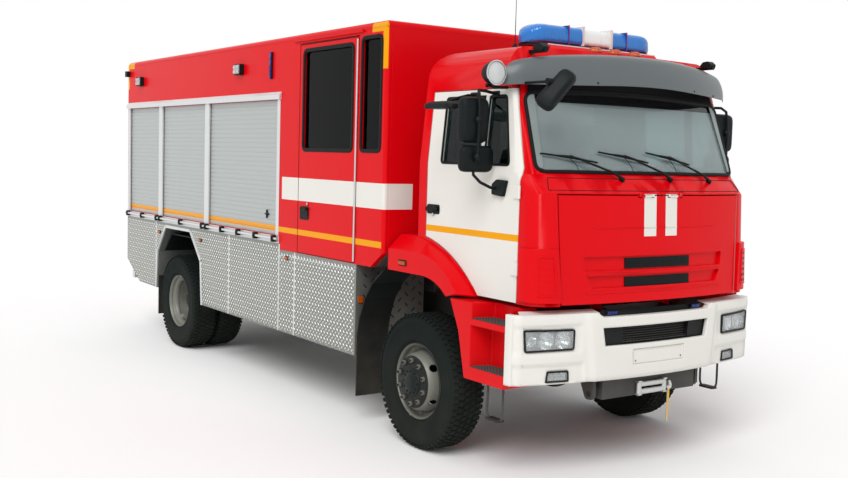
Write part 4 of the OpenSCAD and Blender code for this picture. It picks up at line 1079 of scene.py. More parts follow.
# %% Front panel inlets and crease
inlets = Shape()
for z0, z1 in ((1.500, 1.574), (1.368, 1.440)):
    strips_on(inlets, (0.335, z0), (0.335, z1), panel_at, -0.030, -0.0170)
    for k in range(5):
        z = z0 + (k + 0.7) * (z1 - z0) / 5.4
        strips_on(inlets, (0.328, z), (0.328, z + 0.004), panel_at, -0.020, -0.0125)
inlets.build("panel_inlets", ["plastic_black"], "front_panel", smooth=30)
ribs = Shape()
sheet_on(ribs, fine(rounded(rect(-0.62, 1.782, 0.62, 1.792), 0.004), 0.05), panel_at, -0.002, 0.003)
for z in (1.470, 1.342):
    rib = fine(rounded(rect(-0.69, z - 0.010, 0.69, z + 0.008), 0.006), 0.05)
    sheet_on(ribs, rib, panel_at, -0.004, 0.005)
ribs.build("panel_ribs", ["paint_panel"], "front_panel", bevel=0.003, smooth=40)
print("inlets and ribs made")

# %% [markdown]
# ## Corner deflectors
# The deflectors turn air round the cab corners. Each has a raised lip round an inset field with
# six level slats, dark on the left side, where the black of the slats is painted shade. They lie on
# the corner's own surface, so they follow its bend without fitting by eye.

# %% Deflector slats
def corner_at(y, z, out=0.0):
    base = panel_at(y, z, 0.0)
    ahead = panel_at(y + 0.002, z, 0.0) - panel_at(y - 0.002, z, 0.0)
    away = Vector((ahead.y, -ahead.x, 0)).normalized()
    return base + away * (0.026 + out)


for name, side in SIDES:
    field = [(side * 0.955, 1.335), (side * 1.055, 1.335), (side * 1.055, 1.60), (side * 0.972, 1.60)]
    lip = Shape()
    seal(lip, fine(rounded(field, 0.015), 0.02), corner_at, 0.012, 0.006)
    lip.build("deflector_lip_" + name, ["paint_cab"], "cab", smooth=40)
    slats = Shape()
    for k in range(6):
        z = 1.352 + k * 0.042
        sheet_on(slats, fine([Vector((side * a, b)) for a, b in rect(0.974, z, 1.046, z + 0.017)], 0.02),
                 corner_at, -0.002, 0.0012)
    # The black slats on the left side are painted shade; on the right they keep the red paint.
    slats.build("deflector_slats_" + name, ["rubber_seal" if side > 0 else "paint_cab"], "cab", smooth=30)
print("deflectors made")

# %% [markdown]
# ## Door seals, pulls and fender marker
# The door glass sits in rubber with an upright bar between the fixed light and the drop glass.
# The rubber is carried round each pane as on the crew door. The pull is a tube over a dark dish,
# and an orange marker sits on the fender.

# %% Cab door trim
def door_face(x, z, out, side):
    reach = 1.10 if z < 2.2 else 1.10 - 0.055 * (z - 2.2) / 0.6
    return Vector((x, side * (reach + out), z))


for name, side in SIDES:
    on_door = lambda x, z, out=0.0: door_face(x, z, out, side)
    rubber = Shape()
    seal(rubber, fine(rounded([(0.10, 2.206), (0.585, 2.206), (0.585, 2.69), (0.10, 2.69)], 0.03), 0.08),
         on_door, 0.019, 0.006)
    seal(rubber, fine(rounded([(0.615, 2.206), (0.905, 2.206), (0.805, 2.69), (0.615, 2.69)], 0.03), 0.08),
         on_door, 0.019, 0.006)
    bar = fine([Vector(p) for p in rect(0.582, 2.204, 0.618, 2.692)], 0.08)
    sheet_on(rubber, bar, on_door, 0.002, 0.009, 1)
    rubber.build("door_window_seal_" + name, ["rubber_seal", "alu_trim"], "cab_door_" + name, smooth=50)
    pull = Shape()
    sheet_on(pull, rounded(rect(-0.063, 1.815, 0.10, 1.888), 0.02), on_door, -0.003, 0.0035, slot=0)
    pull.tube([on_door(-0.05, 1.852, 0.02), on_door(-0.02, 1.853, 0.029), on_door(0.06, 1.853, 0.029),
               on_door(0.085, 1.852, 0.012)], [0.012, 0.014, 0.013, 0.011], 12)
    pull.turned([(0.0, side * 0.003), (0.013, side * 0.003), (0.012, side * 0.010), (0.0, side * 0.011)],
                (0.02, side * 1.10, 1.812), "y", 20, 1)
    pull.build("cab_door_pull_" + name, ["plastic_black", "steel_bright"], "cab_door_" + name, bevel=0.001)
    marker = Shape()
    marker.plate((-0.268, 1.395, -0.152, 1.445), 0.012, "xz", side * 1.214, side * 1.221)
    marker.plate((-0.258, 1.403, -0.162, 1.437), 0.010, "xz", side * 1.219, side * 1.230, 1)
    marker.build("fender_marker_" + name, ["plastic_black", "lens_orange"], "cab", bevel=0.003)
print("door trim made")

# %% [markdown]
# ## Step treads and stirrups
# The step panel has two pockets with dark open treads, and a wire stirrup hangs below it. A texture
# would have no edge against the light, so small studs make the tread's grid. The stirrup is one
# bent tube.

# %% Treads and stirrups
TREADS = [(1.112, [(0.690, 1.219), (0.745, 1.052), (1.045, 1.052), (1.083, 1.170), (1.083, 1.219)]),
          (0.765, [(0.680, 1.219), (0.735, 1.062), (1.030, 1.062), (1.060, 1.219)])]
plates, knobs = Shape(), []
for z, tread in TREADS:
    plates.prism(tread, "xy", z + 0.0005, z + 0.006)
    for i in range(24):
        for k in range(14):
            x, y = 0.685 + i * 0.0175, 1.056 + k * 0.0125
            if (i + k) % 2 == 0 and all(inside(tread, x + d, y) and inside(tread, x, y + d)
                                        for d in (-0.01, 0.01)):
                knobs += [((x, s * y, z + 0.006), (0, 0, 1), (1, 0, 0), (0.014, 0.0085, 0.007))
                          for s in (-1, 1)]
plates.mirrored().build("step_treads", ["steel_dark"], "chassis", bevel=0.001, steps=1)
studs("step_tread_mesh", knobs, "steel_dark", "chassis", sides=4, taper=0.25)
loops = Shape()
bend = [(0.790, 0.676), (0.788, 0.50), (0.790, 0.452), (0.800, 0.428), (0.820, 0.4155), (0.875, 0.4145),
        (0.930, 0.4155), (0.950, 0.428), (0.960, 0.452), (0.962, 0.50), (0.960, 0.676)]
loops.tube([(x, 1.13, z) for x, z in bend], 0.009, 10)
loops.plate((0.805, 1.098, 0.945, 1.162), 0.01, "xy", 0.408, 0.424, 1)
loops.mirrored().build("stirrups", ["steel_dark", "rubber_seal"], "chassis", bevel=0.001, smooth=50,
                       replaces=["stirrup_steps"])
print("steps made", len(knobs))

# %% [markdown]
# ## Bumper
# The bumper is one moulded part: its middle third stands forward, the outer thirds carry a crease
# and all its openings have soft lips. The frame gives the exact outline and openings, so a copy
# is cut into a fine mesh and its outer face is pushed out by a smooth rule.

# %% Moulded bumper
def ease(a, b, value):
    t = min(max((value - a) / (b - a), 0), 1)
    return t * t * (3 - 2 * t)


def swell(y, z):
    edge = 0.60 + 0.06 * (z - 0.72) / 0.48
    centre = 0.016 * ease(edge + 0.045, edge - 0.02, abs(y))
    outer = ease(edge + 0.06, edge + 0.09, abs(y))
    crease = -0.015 * ease(0.862, 0.842, z) * outer * ease(0.715, 0.735, z)
    pocket = -0.011 * ease(0.922, 0.942, z) * ease(1.132, 1.112, z) * ease(0.690, 0.735, abs(y))
    sill = -0.010 * ease(1.165, 1.205, z)
    foot = -0.014 * ease(0.745, 0.712, z)
    return centre + crease + pocket + sill + foot - 0.004


LONGEST_EDGE, ROUNDS = 0.022, 8
MOULDED_SIDE, MOULDED_DEPTH, FULL_DEPTH = 1.225, -0.02, -0.008
mesh, work = node_mesh("front_bumper")
bmesh.ops.triangulate(work, faces=work.faces)
for _ in range(ROUNDS):
    long_edges = [e for e in work.edges if e.calc_length() > LONGEST_EDGE]
    if not long_edges:
        break
    bmesh.ops.subdivide_edges(work, edges=long_edges, cuts=1)
    bmesh.ops.triangulate(work, faces=work.faces)
moved = 0
for v in work.verts:
    y, z = v.co.y, v.co.z
    if abs(y) < MOULDED_SIDE:
        skin = bumper_at(y, z, 0.0)
        skin.x += AXLE_X
        away = outward(bumper_at, y, z)
        depth = (v.co - skin).dot(away)
        if depth > MOULDED_DEPTH:
            v.co += away * swell(y, z) * ease(MOULDED_DEPTH, FULL_DEPTH, depth)
            moved += 1
work.to_mesh(mesh)
work.free()
dress("bumper_moulding", mesh, ["paint_bumper"], "chassis", smooth=42, replaces=["front_bumper"], clean=False)
print("bumper points moved", moved)

# %% [markdown]
# ## Behind the bumper
# The slot shows a dark hollow with a tread plate inside, the top edge holds a dark strip with two
# blue flashers, and a fine raised line frames the flat field between. A ledge and dark plates close
# the gap between the bumper and the cab. All lie on the bumper's own surface at set depths.

# %% Slot and its tread
slot = Shape()
hollow = fine(rounded([(-0.515, 0.964), (0.515, 0.964), (0.538, 1.088), (-0.538, 1.088)], 0.01), 0.06)
rings = [[bumper_at(p[0], p[1], out) for p in hollow] for out in (-0.012, -0.060)]
slot.loft(rings, 0, caps=False)
slot.add(rings[1], [tuple(range(len(hollow)))], 0)
for hand in (-1, 1):
    cheek = [(hand * 0.335, 0.966), (hand * 0.512, 0.966), (hand * 0.534, 1.086), (hand * 0.345, 1.086)]
    sheet_on(slot, fine([Vector(p) for p in cheek], 0.05), bumper_at, -0.055, -0.022, 1)
for k in range(7):
    z = 0.968 + k * 0.017
    slot.tube([bumper_at(y, z, -0.050) for y in (-0.335, -0.17, 0, 0.17, 0.335)], 0.0035, 6, 2)
slot.build("bumper_slot", ["rubber_seal", "plastic_black", "steel_dark"], "chassis", smooth=35)
tread = [(bumper_at(-0.32 + i * 0.032, 0.975, -0.032), (0.3, 0, 1), (0, 1, 0), (0.013, 0.006, 0.006))
         for i in range(21)]
studs("slot_tread", tread, "steel_dark", "chassis", sides=6, taper=0.5)

# %% Flasher strip
strip = Shape()
FLASHER_Y = 0.439
sheet_on(strip, fine(rounded(rect(-0.533, 1.1665, 0.533, 1.2075), 0.006), 0.05), bumper_at, -0.072, -0.040)
for hand in (-1, 1):
    y = hand * FLASHER_Y
    sheet_on(strip, rounded(rect(y - 0.052, 1.171, y + 0.052, 1.204), 0.005), bumper_at, -0.042, -0.034)
    for k in range(6):
        y = hand * FLASHER_Y - 0.0435 + k * 0.0150
        sheet_on(strip, rounded(rect(y, 1.175, y + 0.0125, 1.200), 0.003), bumper_at, -0.036, -0.028, 1)
strip.build("flasher_strip", ["plastic_black", "lens_strobe"], "chassis", bevel=0.0015, steps=1)
print("flashers made")

# %% Plate place, ledge and closing plates
holes = Shape()
for y in (-0.235, 0.235):
    holes.turned([(0.0, 0.0), (0.0055, 0.0), (0.0055, 0.0008), (0.0, 0.001)], bumper_at(y, 0.838, 0.0065),
                 "x", 14)
holes.build("plate_holes", ["rubber_seal"], "chassis")
ledge = Shape()
LEDGE_Z, LEDGE_RISE, LEDGE_THICK = 1.196, 0.018, 0.008
span = [0.565 + 0.03 * k for k in range(22)]
for hand in (-1, 1):
    front = [bumper_at(hand * y, LEDGE_Z, -0.010) for y in span]
    back = [bumper_at(hand * y, LEDGE_Z + LEDGE_RISE, -0.100) for y in reversed(span)]
    ledge.loft([[p + Vector((0, 0, drop)) for p in front + back] for drop in (-LEDGE_THICK, 0.0)])
for y0, y1, x0, x1 in ((-0.86, -0.40, 0.86, 1.20), (-0.31, 0.31, 1.00, 1.25), (0.40, 0.86, 0.86, 1.20)):
    ledge.box((x0, y0, 1.180), (x1, y1, 1.188), 1)
for hand in (-1, 1):
    ledge.box((0.74, hand * 0.402, 1.060), (1.20, hand * 0.410, 1.181), 1)
ledge.build("bumper_ledge", ["paint_bumper", "plastic_black"], "chassis", bevel=0.001, steps=1, smooth=40)
place_line = Shape()
seal(place_line, fine(rounded(rect(-0.258, 0.822, 0.258, 0.918), 0.006), 0.06),
     lambda y, z, out: bumper_at(y, z, out + 0.0045), 0.006, 0.003)
place_line.build("plate_place", ["paint_bumper"], "chassis", smooth=50)
print("bumper trim made")

# %% [markdown]
# ## Headlamps and fog lamps
# A headlamp is a dark case, bright bowls, and a clear cover flush with the bumper. The cover is
# partly milky white, as painted light from the bright bowls behind it. If the cover were one solid
# block it would show the road behind, so the bowls and case are made too.

# %% Lamps in the bumper
HEAD = [(0.776, 0.955), (1.146, 0.951), (1.157, 1.093), (0.773, 1.087)]
FOG = [(0.806, 0.733), (0.979, 0.733), (0.970, 0.801), (0.810, 0.801)]
BOWLS = ((0.865, 1.022, 0.060, 0.048), (0.995, 1.022, 0.062, 0.048), (1.10, 1.020, 0.038, 0.040))
BOWL_STEPS, BOWL_SIDES = 6, 28
for name, side in SIDES:
    lamp = Shape()
    head = fine(rounded([(side * a, b) for a, b in HEAD], 0.012), 0.03)
    fog = fine(rounded([(side * a, b) for a, b in FOG], 0.008), 0.03)
    seal(lamp, head, lambda y, z, out=0: bumper_at(y, z, out - 0.006), 0.012, 0.005, sink=0.02)
    seal(lamp, fog, lambda y, z, out=0: bumper_at(y, z, out - 0.018), 0.012, 0.008, sink=0.02)
    for outline, back in ((head, 0.068), (fog, 0.055)):
        front = [bumper_at(p[0], p[1], -0.022) for p in outline]
        rear = [bumper_at(p[0], p[1], -back) for p in outline]
        lamp.loft([front, rear], 1, caps=False)
        lamp.add(rear, [tuple(range(len(rear)))], 1)
    for y, z, r, deep in BOWLS:
        y *= side
        centre = bumper_at(y, z, -0.062)
        away = outward(bumper_at, y, z)
        first, second = ring_frame(away)
        bowl = []
        for k in range(BOWL_STEPS + 1):
            t = k / BOWL_STEPS
            rr = r * math.sqrt(0.02 + 0.98 * t)
            bowl.append([centre + away * (deep * t) + rr * (math.cos(q) * first + math.sin(q) * second)
                         for q in (2 * math.pi * m / BOWL_SIDES for m in range(BOWL_SIDES))])
        lamp.loft(bowl + [[p + away * 0.001 + (p - centre) * 0.03 for p in bowl[-1]]], 2, caps=False)
        lamp.add(bowl[0], [tuple(range(BOWL_SIDES))], 2)
        lamp.tube([centre, centre + away * 0.024], 0.008, 12, 3)
    for k in range(3):
        for m in range(2):
            y, z = side * (0.845 + k * 0.045), 0.752 + m * 0.031
            reflector = rounded(rect(y - 0.017, z - 0.012, y + 0.017, z + 0.012), 0.005)
            sheet_on(lamp, reflector, bumper_at, -0.052, -0.028, 3)
    lamp.build("lamp_case_" + name, ["plastic_black", "lamp_bowl", "chrome", "lens_white"], "chassis",
               smooth=45)
    cover = Shape()
    for outline, out in ((head, -0.008), (fog, -0.018)):
        grown = [bumper_at(p[0], p[1], out) for p in outline]
        inner = [bumper_at(p[0], p[1], out - 0.004) for p in outline]
        cover.loft([inner, grown])
    cover.build("lamp_cover_" + name, ["lens_clear"], "chassis", smooth=30,
                replaces=["headlamps"] if side < 0 else ())
print("bumper lamps made")

# %% [markdown]
# ## Winch
# A dark beam carries the winch drum. In front are four bright rollers that guide the rope, and a
# hook with a short yellow hand strap. The rollers are turned profiles. The strap is a tube along
# its own hanging line, because a limp cord has a length and a route, not only a shape.

# %% Winch, rollers, hook and strap
FAIRLEAD_X = 1.2705
copy_node("winch", ["steel_dark", "steel_bright", "steel_hub"], bevel=0.0015, steps=1, smooth=35,
          pick=lambda f: 1 if middle(f).x > FAIRLEAD_X else 0)
fair = Shape()
for y in (-0.13, 0.13):
    fair.turned([(0.0, 0.578), (0.019, 0.578), (0.021, 0.590), (0.021, 0.646), (0.019, 0.658), (0.0, 0.658)],
                (1.286, y, 0), "z", 24)
for z in (0.592, 0.646):
    fair.turned([(0.0, -0.122), (0.019, -0.122), (0.021, -0.11), (0.021, 0.11), (0.019, 0.122), (0.0, 0.122)],
                (1.288, 0, z), "y", 24)
hook = [(1.300, 0.172, 0.648), (1.304, 0.178, 0.632), (1.304, 0.186, 0.616), (1.303, 0.186, 0.600),
        (1.302, 0.176, 0.590), (1.302, 0.164, 0.590), (1.301, 0.155, 0.600), (1.300, 0.153, 0.612)]
fair.tube(hook, [0.010, 0.011, 0.011, 0.011, 0.010, 0.009, 0.007, 0.004], 12)
fair.build("fairlead_rollers", ["steel_bright"], "chassis", smooth=45)
strap_path = [(1.302, 0.170, 0.592), (1.3025, 0.1698, 0.57), (1.303, 0.1692, 0.53), (1.303, 0.1684, 0.48),
              (1.3025, 0.1674, 0.43), (1.3022, 0.1662, 0.39), (1.302, 0.165, 0.352)]
strap = Shape()
strap.tube(strap_path, 0.0075, 10)
strap_piece = strap.build("hook_strap", ["strap_yellow"], "chassis", smooth=60)
route = [(x + AXLE_X, y, z) for x, y, z in strap_path]
strap_length = sum(math.dist(a, b) for a, b in zip(route, route[1:]))
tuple(route[0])
print("winch dressed, strap", round(strap_length, 3))

# %% [markdown]
# ## Visor, light bar and roof lamps
# A grey visor shades the windscreen. It is a grid of points with a rule for its bulge, because a
# plate bent once would miss its wrapped ends. Behind it the light bar stands on a red plinth: two
# blue domed ends and a pale middle, each one profile lofted along the bar.

# %% Visor and its fixings
VISOR_LEAN, VISOR_BOW, VISOR_FOOT = math.radians(16), 2.490, (1.178, 2.792)


def visor_at(y, up, out=0.0):
    c, s = math.cos(VISOR_LEAN), math.sin(VISOR_LEAN)
    x = math.sqrt(VISOR_BOW ** 2 - y * y) - VISOR_BOW + out
    return Vector((VISOR_FOOT[0] + x * c - up * s, y, VISOR_FOOT[1] + x * s + up * c))


UP_STEPS, ACROSS = 12, 56
VISOR_HALF, VISOR_FLARE, VISOR_HEIGHT = 0.850, 0.297, 0.242
visor = Shape()
skins = []
for back in (0.0, -0.006):
    for i in range(UP_STEPS + 1):
        v = i / UP_STEPS
        reach = VISOR_HALF + VISOR_FLARE * max(1 - v ** 3, 0.0) ** (1 / 3)
        for k in range(ACROSS + 1):
            u = 2 * k / ACROSS - 1
            bulge = 0.016 * math.sin(math.pi * min(v, 0.9)) - 0.045 * max(v - 0.78, 0) ** 2 / 0.0484
            wrap = -0.030 * max(abs(u) - 0.90, 0) ** 2 / 0.01
            rise = 0.050 * max(abs(u) - 0.35, 0) ** 2 / 0.4225
            skins.append(visor_at(u * reach, rise + v * (VISOR_HEIGHT - rise), bulge + wrap + back))
row, whole = ACROSS + 1, (ACROSS + 1) * (UP_STEPS + 1)
faces = []
for i in range(UP_STEPS):
    for k in range(ACROSS):
        a = i * row + k
        b = a + whole
        faces += [(a, a + 1, a + row + 1, a + row), (b, b + row, b + row + 1, b + 1)]
rim = list(range(row)) + [(i + 1) * row - 1 for i in range(1, UP_STEPS + 1)]
rim += [UP_STEPS * row + k for k in reversed(range(ACROSS))] + [i * row for i in reversed(range(1, UP_STEPS))]
faces += [(a, b, b + whole, a + whole) for a, b in zip(rim, rim[1:] + rim[:1])]
visor.add(skins, faces)
for hand in (-1, 1):
    visor.box((0.765, hand * 0.860, 2.992), (0.985, hand * 0.885, 3.016), 1)
visor.build("visor_shell", ["paint_grey", "plastic_black"], "cab", smooth=40, replaces=["visor"])
screws = []
for y, up in ((-0.82, 0.03), (-0.31, 0.075), (0.31, 0.075), (0.50, 0.02), (0.82, 0.03), (-0.50, 0.02)):
    p = visor_at(y, up, 0.0)
    screws.append((p, visor_at(y, up, 0.02) - p, (0, 1, 0), (0.011, 0.011, 0.005)))
studs("visor_screws", screws, "rubber_seal", "cab", sides=12, taper=0.7)
clamps = Shape()
for hand in (-1, 1):
    outline = rounded([(0.87, 3.018), (0.975, 3.000), (0.985, 3.03), (0.95, 3.058), (0.90, 3.052)], 0.008)
    clamps.prism(outline, "xz", hand * 0.842, hand * 0.903)
clamps.build("visor_clamps", ["plastic_black"], "cab", bevel=0.004)

# %% Light bar lenses
DOME_REACH, DOME_STEPS = 0.14, 8


def capsule(y0, y1, low, top, x0, x1, round_start, round_end, slot, shape):
    half = (x0 + x1) / 2
    profile = rounded([(x0, low), (x1, low), (x1 - 0.012, top - 0.02), (half + 0.06, top), (half - 0.06, top),
                       (x0 + 0.012, top - 0.02)], 0.05, 4)
    centre = Vector((half, low))
    turns = [math.pi / 2 * k / DOME_STEPS for k in range(DOME_STEPS + 1)]
    stations = []
    if round_start:
        stations += [(y0 + DOME_REACH * (1 - math.cos(t)), math.sin(t)) for t in turns[:-1]]
    stations += [(y0 + (DOME_REACH if round_start else 0), 1.0), (y1 - (DOME_REACH if round_end else 0), 1.0)]
    if round_end:
        stations += [(y1 - DOME_REACH * (1 - math.sin(t)), math.cos(t)) for t in turns[1:]]
    rings = []
    for y, share in stations:
        share = max(share, 0.02)
        rings.append([(centre.x + (p.x - centre.x) * share, y, low + (p.y - low) * (0.35 + 0.65 * share))
                      for p in profile])
    shape.loft(rings, slot)


bar = Shape()
bar.prism([(0.170, 3.0455), (0.705, 3.0455), (0.650, 3.098), (0.235, 3.098)], "xz", -0.56, 0.56, 0)
bar.plate((0.33, -0.622, 0.57, 0.622), 0.1, "xy", 3.096, 3.120, 1)
capsule(-0.641, -0.150, 3.119, 3.264, 0.312, 0.588, True, False, 2, bar)
capsule(0.150, 0.641, 3.119, 3.264, 0.312, 0.588, False, True, 2, bar)
capsule(-0.148, 0.148, 3.119, 3.258, 0.316, 0.584, False, False, 3, bar)
for y in (-0.149, 0.149):
    bar.box((0.309, y - 0.007, 3.118), (0.591, y + 0.007, 3.2645), 4)
for y in (-0.300, 0.310):
    bar.box((0.3105, y - 0.004, 3.119), (0.5895, y + 0.004, 3.262), 5)
bar.build("light_bar_dressed",
          ["paint_cab", "plastic_black", "lens_beacon", "lamp_bowl", "paint_bumper", "lens_strobe"],
          "cab", bevel=0.0025, smooth=45, replaces=["light_bar"])
edge = Shape()
for x, z in ((0.703, 3.048), (0.172, 3.048), (0.651, 3.0975)):
    edge.box((x - 0.004, -0.562, z - 0.004), (x + 0.004, 0.562, z + 0.004))
edge.build("plinth_edges", ["alu_trim"], "cab", bevel=0.001, steps=1)
print("light bar made")

# %% Roof lamps and aerial
AERIAL_X, AERIAL_Y = 0.560, -0.80
domes = Shape()
for y in (-0.205, 0.0, 0.205):
    domes.turned([(0.0, 3.0455), (0.056, 3.0455), (0.054, 3.056), (0.0, 3.057)], (0.775, y, 0), "z", 28, 1)
    domes.turned([(0.0, 3.055), (0.050, 3.055), (0.049, 3.070), (0.042, 3.083), (0.027, 3.091),
                  (0.001, 3.0935)], (0.775, y, 0), "z", 28)
domes.turned([(0.0, 3.0455), (0.024, 3.0455), (0.022, 3.060), (0.012, 3.082), (0.006, 3.090), (0.0, 3.091)],
             (AERIAL_X, AERIAL_Y, 0), "z", 20, 2)
domes.tube([(AERIAL_X, AERIAL_Y, z) for z in (3.085, 3.25, 3.464)], [0.0032, 0.0026, 0.0018], 8, 2)
domes.build("roof_markers", ["lens_orange", "plastic_black", "rubber_seal"], "cab", smooth=45,
            replaces=["roof_lamps"])
print("roof pieces made")

# %% [markdown]
# ## Mirrors and search lamp
# Each side has a tall and a small mirror on one tube arm with ball clamps. On the right there is
# also a flat kerb mirror over the door, a front mirror on an outrigger and a search lamp. A housing
# is one rounded outline lofted at several sizes, which gives the soft back of a moulded shell.

# %% Mirror pairs
def housing(shape, a, b):
    outline = rounded(rect(a[1], a[2], b[1], b[2]), 0.055, 6)
    centre = Vector(((a[1] + b[1]) / 2, (a[2] + b[2]) / 2))
    deep = b[0] - a[0]
    stations = ((a[0], 0.985), (a[0] + 0.012, 1.0), (a[0] + 0.4 * deep, 1.0), (a[0] + 0.75 * deep, 0.94),
                (a[0] + 0.93 * deep, 0.80), (b[0], 0.55))
    shape.loft([[(x, *(centre + (p - centre) * share)) for p in outline] for x, share in stations])
    shape.loft([[(x, *(centre + (p - centre) * 0.93)) for p in outline]
                for x in (a[0] - 0.002, a[0] + 0.004)], 1)


BALL = 0.028
for name, s in SIDES:
    pair = Shape()
    housing(pair, (0.712, s * 1.182, 2.352), (0.790, s * 1.413, 2.668))
    housing(pair, (0.712, s * 1.122, 2.150), (0.778, s * 1.403, 2.336))
    foot = [(0.750, 1.998), (0.872, 1.985), (0.905, 2.098), (0.800, 2.104), (0.750, 2.070)]
    pair.prism(rounded(foot, 0.012), "xz", s * 1.1004, s * 1.128)
    pair.tube([(0.790, s * 1.120, 2.040), (0.786, s * 1.165, 2.046), (0.770, s * 1.245, 2.082),
               (0.756, s * 1.296, 2.132), (0.764, s * 1.302, 2.20), (0.804, s * 1.300, 2.25)], 0.011, 12)
    pair.tube([(0.804, s * 1.300, 2.235), (0.807, s * 1.298, 2.45), (0.804, s * 1.296, 2.60),
               (0.790, s * 1.292, 2.685), (0.755, s * 1.270, 2.716), (0.718, s * 1.18, 2.716),
               (0.686, s * 1.062, 2.705)], 0.0115, 12)
    for z in (2.255, 2.51):
        pair.turned([(0.001, -BALL), (BALL * 0.7, -BALL * 0.72), (BALL, 0.0), (BALL * 0.7, BALL * 0.72),
                     (0.001, BALL)], (0.798, s * 1.299, z), "z", 20)
        pair.turned([(0.0, -0.022), (0.021, -0.022), (0.021, 0.012), (0.0, 0.012)], (0.785, s * 1.299, z),
                    "x", 16)
    pair.plate((0.655, 2.685, 0.72, 2.725), 0.01, "xz", s * 1.046, s * 1.07)
    if name == "right":
        flat, cx, cy = rounded(rect(0.268, 1.275, 0.615, 1.412), 0.06, 6), 0.4415, 1.3435
        pair.loft([[(cx + (p.x - cx) * share, -(cy + (p.y - cy) * share), z) for p in flat]
                   for z, share in ((2.592, 0.96), (2.600, 1.0), (2.622, 0.97), (2.638, 0.78),
                                    (2.643, 0.50))])
        pair.tube([(0.44, -1.058, 2.702), (0.44, -1.12, 2.700), (0.44, -1.22, 2.674),
                   (0.44, -1.335, 2.632)], 0.009, 10)
        pair.plate((0.395, 2.685, 0.485, 2.722), 0.01, "xz", -1.045, -1.068)
    pair.build("mirror_pair_" + name, ["plastic_black", "mirror_glass"], "cab_door_" + name, bevel=0.002,
               steps=1, smooth=45, replaces=["mirrors_" + name])
print("mirror pairs made")

# %% Front mirror and search lamp
front = Shape()
front.tube([(0.80, -1.000, 2.775), (0.95, -1.020, 2.772), (1.14, -1.046, 2.770), (1.236, -1.058, 2.768),
            (1.262, -1.058, 2.740)], 0.0095, 12)
long_way, wide_way = Vector((0.20, 0.62, 0.75)).normalized(), Vector((0.62, 0.40, -0.50))
wide_way = (wide_way - long_way * wide_way.dot(long_way)).normalized()
thick_way = wide_way.cross(long_way).normalized()
if thick_way.x < 0:
    thick_way = -thick_way
outline = rounded([(-0.070, -0.160), (0.070, -0.160), (0.062, 0.160), (-0.062, 0.160)], 0.055, 6)
centre = Vector((1.272, -1.020, 2.722))
front.loft([[centre + wide_way * p.x * share + long_way * p.y * share + thick_way * out for p in outline]
            for out, share in ((-0.034, 0.90), (-0.030, 1.0), (-0.004, 1.0), (0.018, 0.90), (0.030, 0.68),
                               (0.034, 0.40))])
front.turned([(0.0, -0.028), (0.022, -0.028), (0.022, 0.028), (0.0, 0.028)], (1.25, -1.058, 2.768), "y", 16)
lamp_at = (0.83, -1.236, 2.830)
front.turned([(0.001, -0.048), (0.030, -0.046), (0.052, -0.030), (0.070, 0.0), (0.080, 0.030),
              (0.084, 0.060), (0.084, 0.074), (0.078, 0.076), (0.076, 0.060), (0.060, 0.034),
              (0.030, 0.012), (0.001, 0.006)], lamp_at, "x", 40)
front.turned([(0.075, 0.060), (0.058, 0.036), (0.030, 0.016), (0.001, 0.010), (0.001, 0.012),
              (0.031, 0.018), (0.060, 0.038), (0.076, 0.062)], lamp_at, "x", 40, 1, closed=True)
front.turned([(0.080, 0.074), (0.085, 0.070), (0.086, 0.078), (0.080, 0.081), (0.076, 0.078)],
             lamp_at, "x", 40, 1, closed=True)
front.tube([(0.80, -1.236, 2.752), (0.815, -1.200, 2.742), (0.80, -1.10, 2.742), (0.79, -1.02, 2.748)],
           0.011, 12)
front.tube([(0.83, -1.236, 2.755), (0.80, -1.236, 2.748)], 0.016, 12)
front.build("front_mirror_and_lamp", ["plastic_black", "chrome"], "cab", bevel=0.0012, steps=1, smooth=45,
            replaces=["front_mirror"])
lens = Shape()
lens.turned([(0.001, 0.082), (0.040, 0.079), (0.076, 0.072), (0.076, 0.069), (0.040, 0.076),
             (0.001, 0.079)], lamp_at, "x", 40, 0)
lens.build("search_lens", ["lens_white"], "cab", smooth=60)
print("mirrors made")

# %% [markdown]
# ## Wipers
# Three arms with pantograph blades lie low on the glass. Each is a spindle boss, a tapered arm,
# a thin hose, and a blade with a claw frame. All are tubes whose radius changes along the way, set
# on the screen's own surface so that none sinks into the glass.

# %% Wiper sets
wipers = Shape()
PIVOT_SHIFT, PIVOT_UP = 0.19, -0.034
for y in (-0.52, -0.03, 0.43):
    boss = screen_at(y + PIVOT_SHIFT, PIVOT_UP)
    out = outward(screen_at, y + PIVOT_SHIFT, PIVOT_UP)
    wipers.tube([boss - out * 0.005, boss + out * 0.034, boss + out * 0.046], [0.019, 0.019, 0.013], 16)
    knee = screen_at(y + 0.11, 0.012, 0.046)
    mid = screen_at(y - 0.225, 0.148, 0.030)
    wipers.tube([boss + out * 0.040, knee, mid], [0.0125, 0.0085, 0.006], 10)
    wipers.tube([screen_at(y - 0.15, 0.030, 0.008), screen_at(y - 0.18, 0.080, 0.020),
                 screen_at(y - 0.235, 0.140, 0.024)], 0.0024, 8)
    a, b = (y - 0.445, 0.178), (y + 0.015, 0.100)
    points = [(a[0] + (b[0] - a[0]) * k / 10, a[1] + (b[1] - a[1]) * k / 10) for k in range(11)]
    wipers.tube([screen_at(p[0], p[1], 0.0065) for p in points], 0.0052, 6, 1)
    wipers.tube([screen_at(p[0], p[1], 0.0135) for p in points], [0.004] + [0.0062] * 9 + [0.004], 8)
    wipers.tube([screen_at(p[0], p[1], 0.0135 + 0.012 * math.sin(math.pi * k / 6))
                 for k, p in enumerate(points[2:9])], [0.004, 0.006, 0.008, 0.009, 0.008, 0.006, 0.004], 8)
wipers.build("wiper_sets", ["plastic_black", "rubber_seal"], "cab", smooth=50, replaces=["wipers"])
print("wipers made")

# %% [markdown]
# ## Side and rear lamps
# Flood lamps stand on the body sides near the roof, with a blue flasher between them. Small
# orange markers run along the lockers and the tail lamps sit above the rear step. They are rounded
# plates with lenses on them, so short loops make them all.

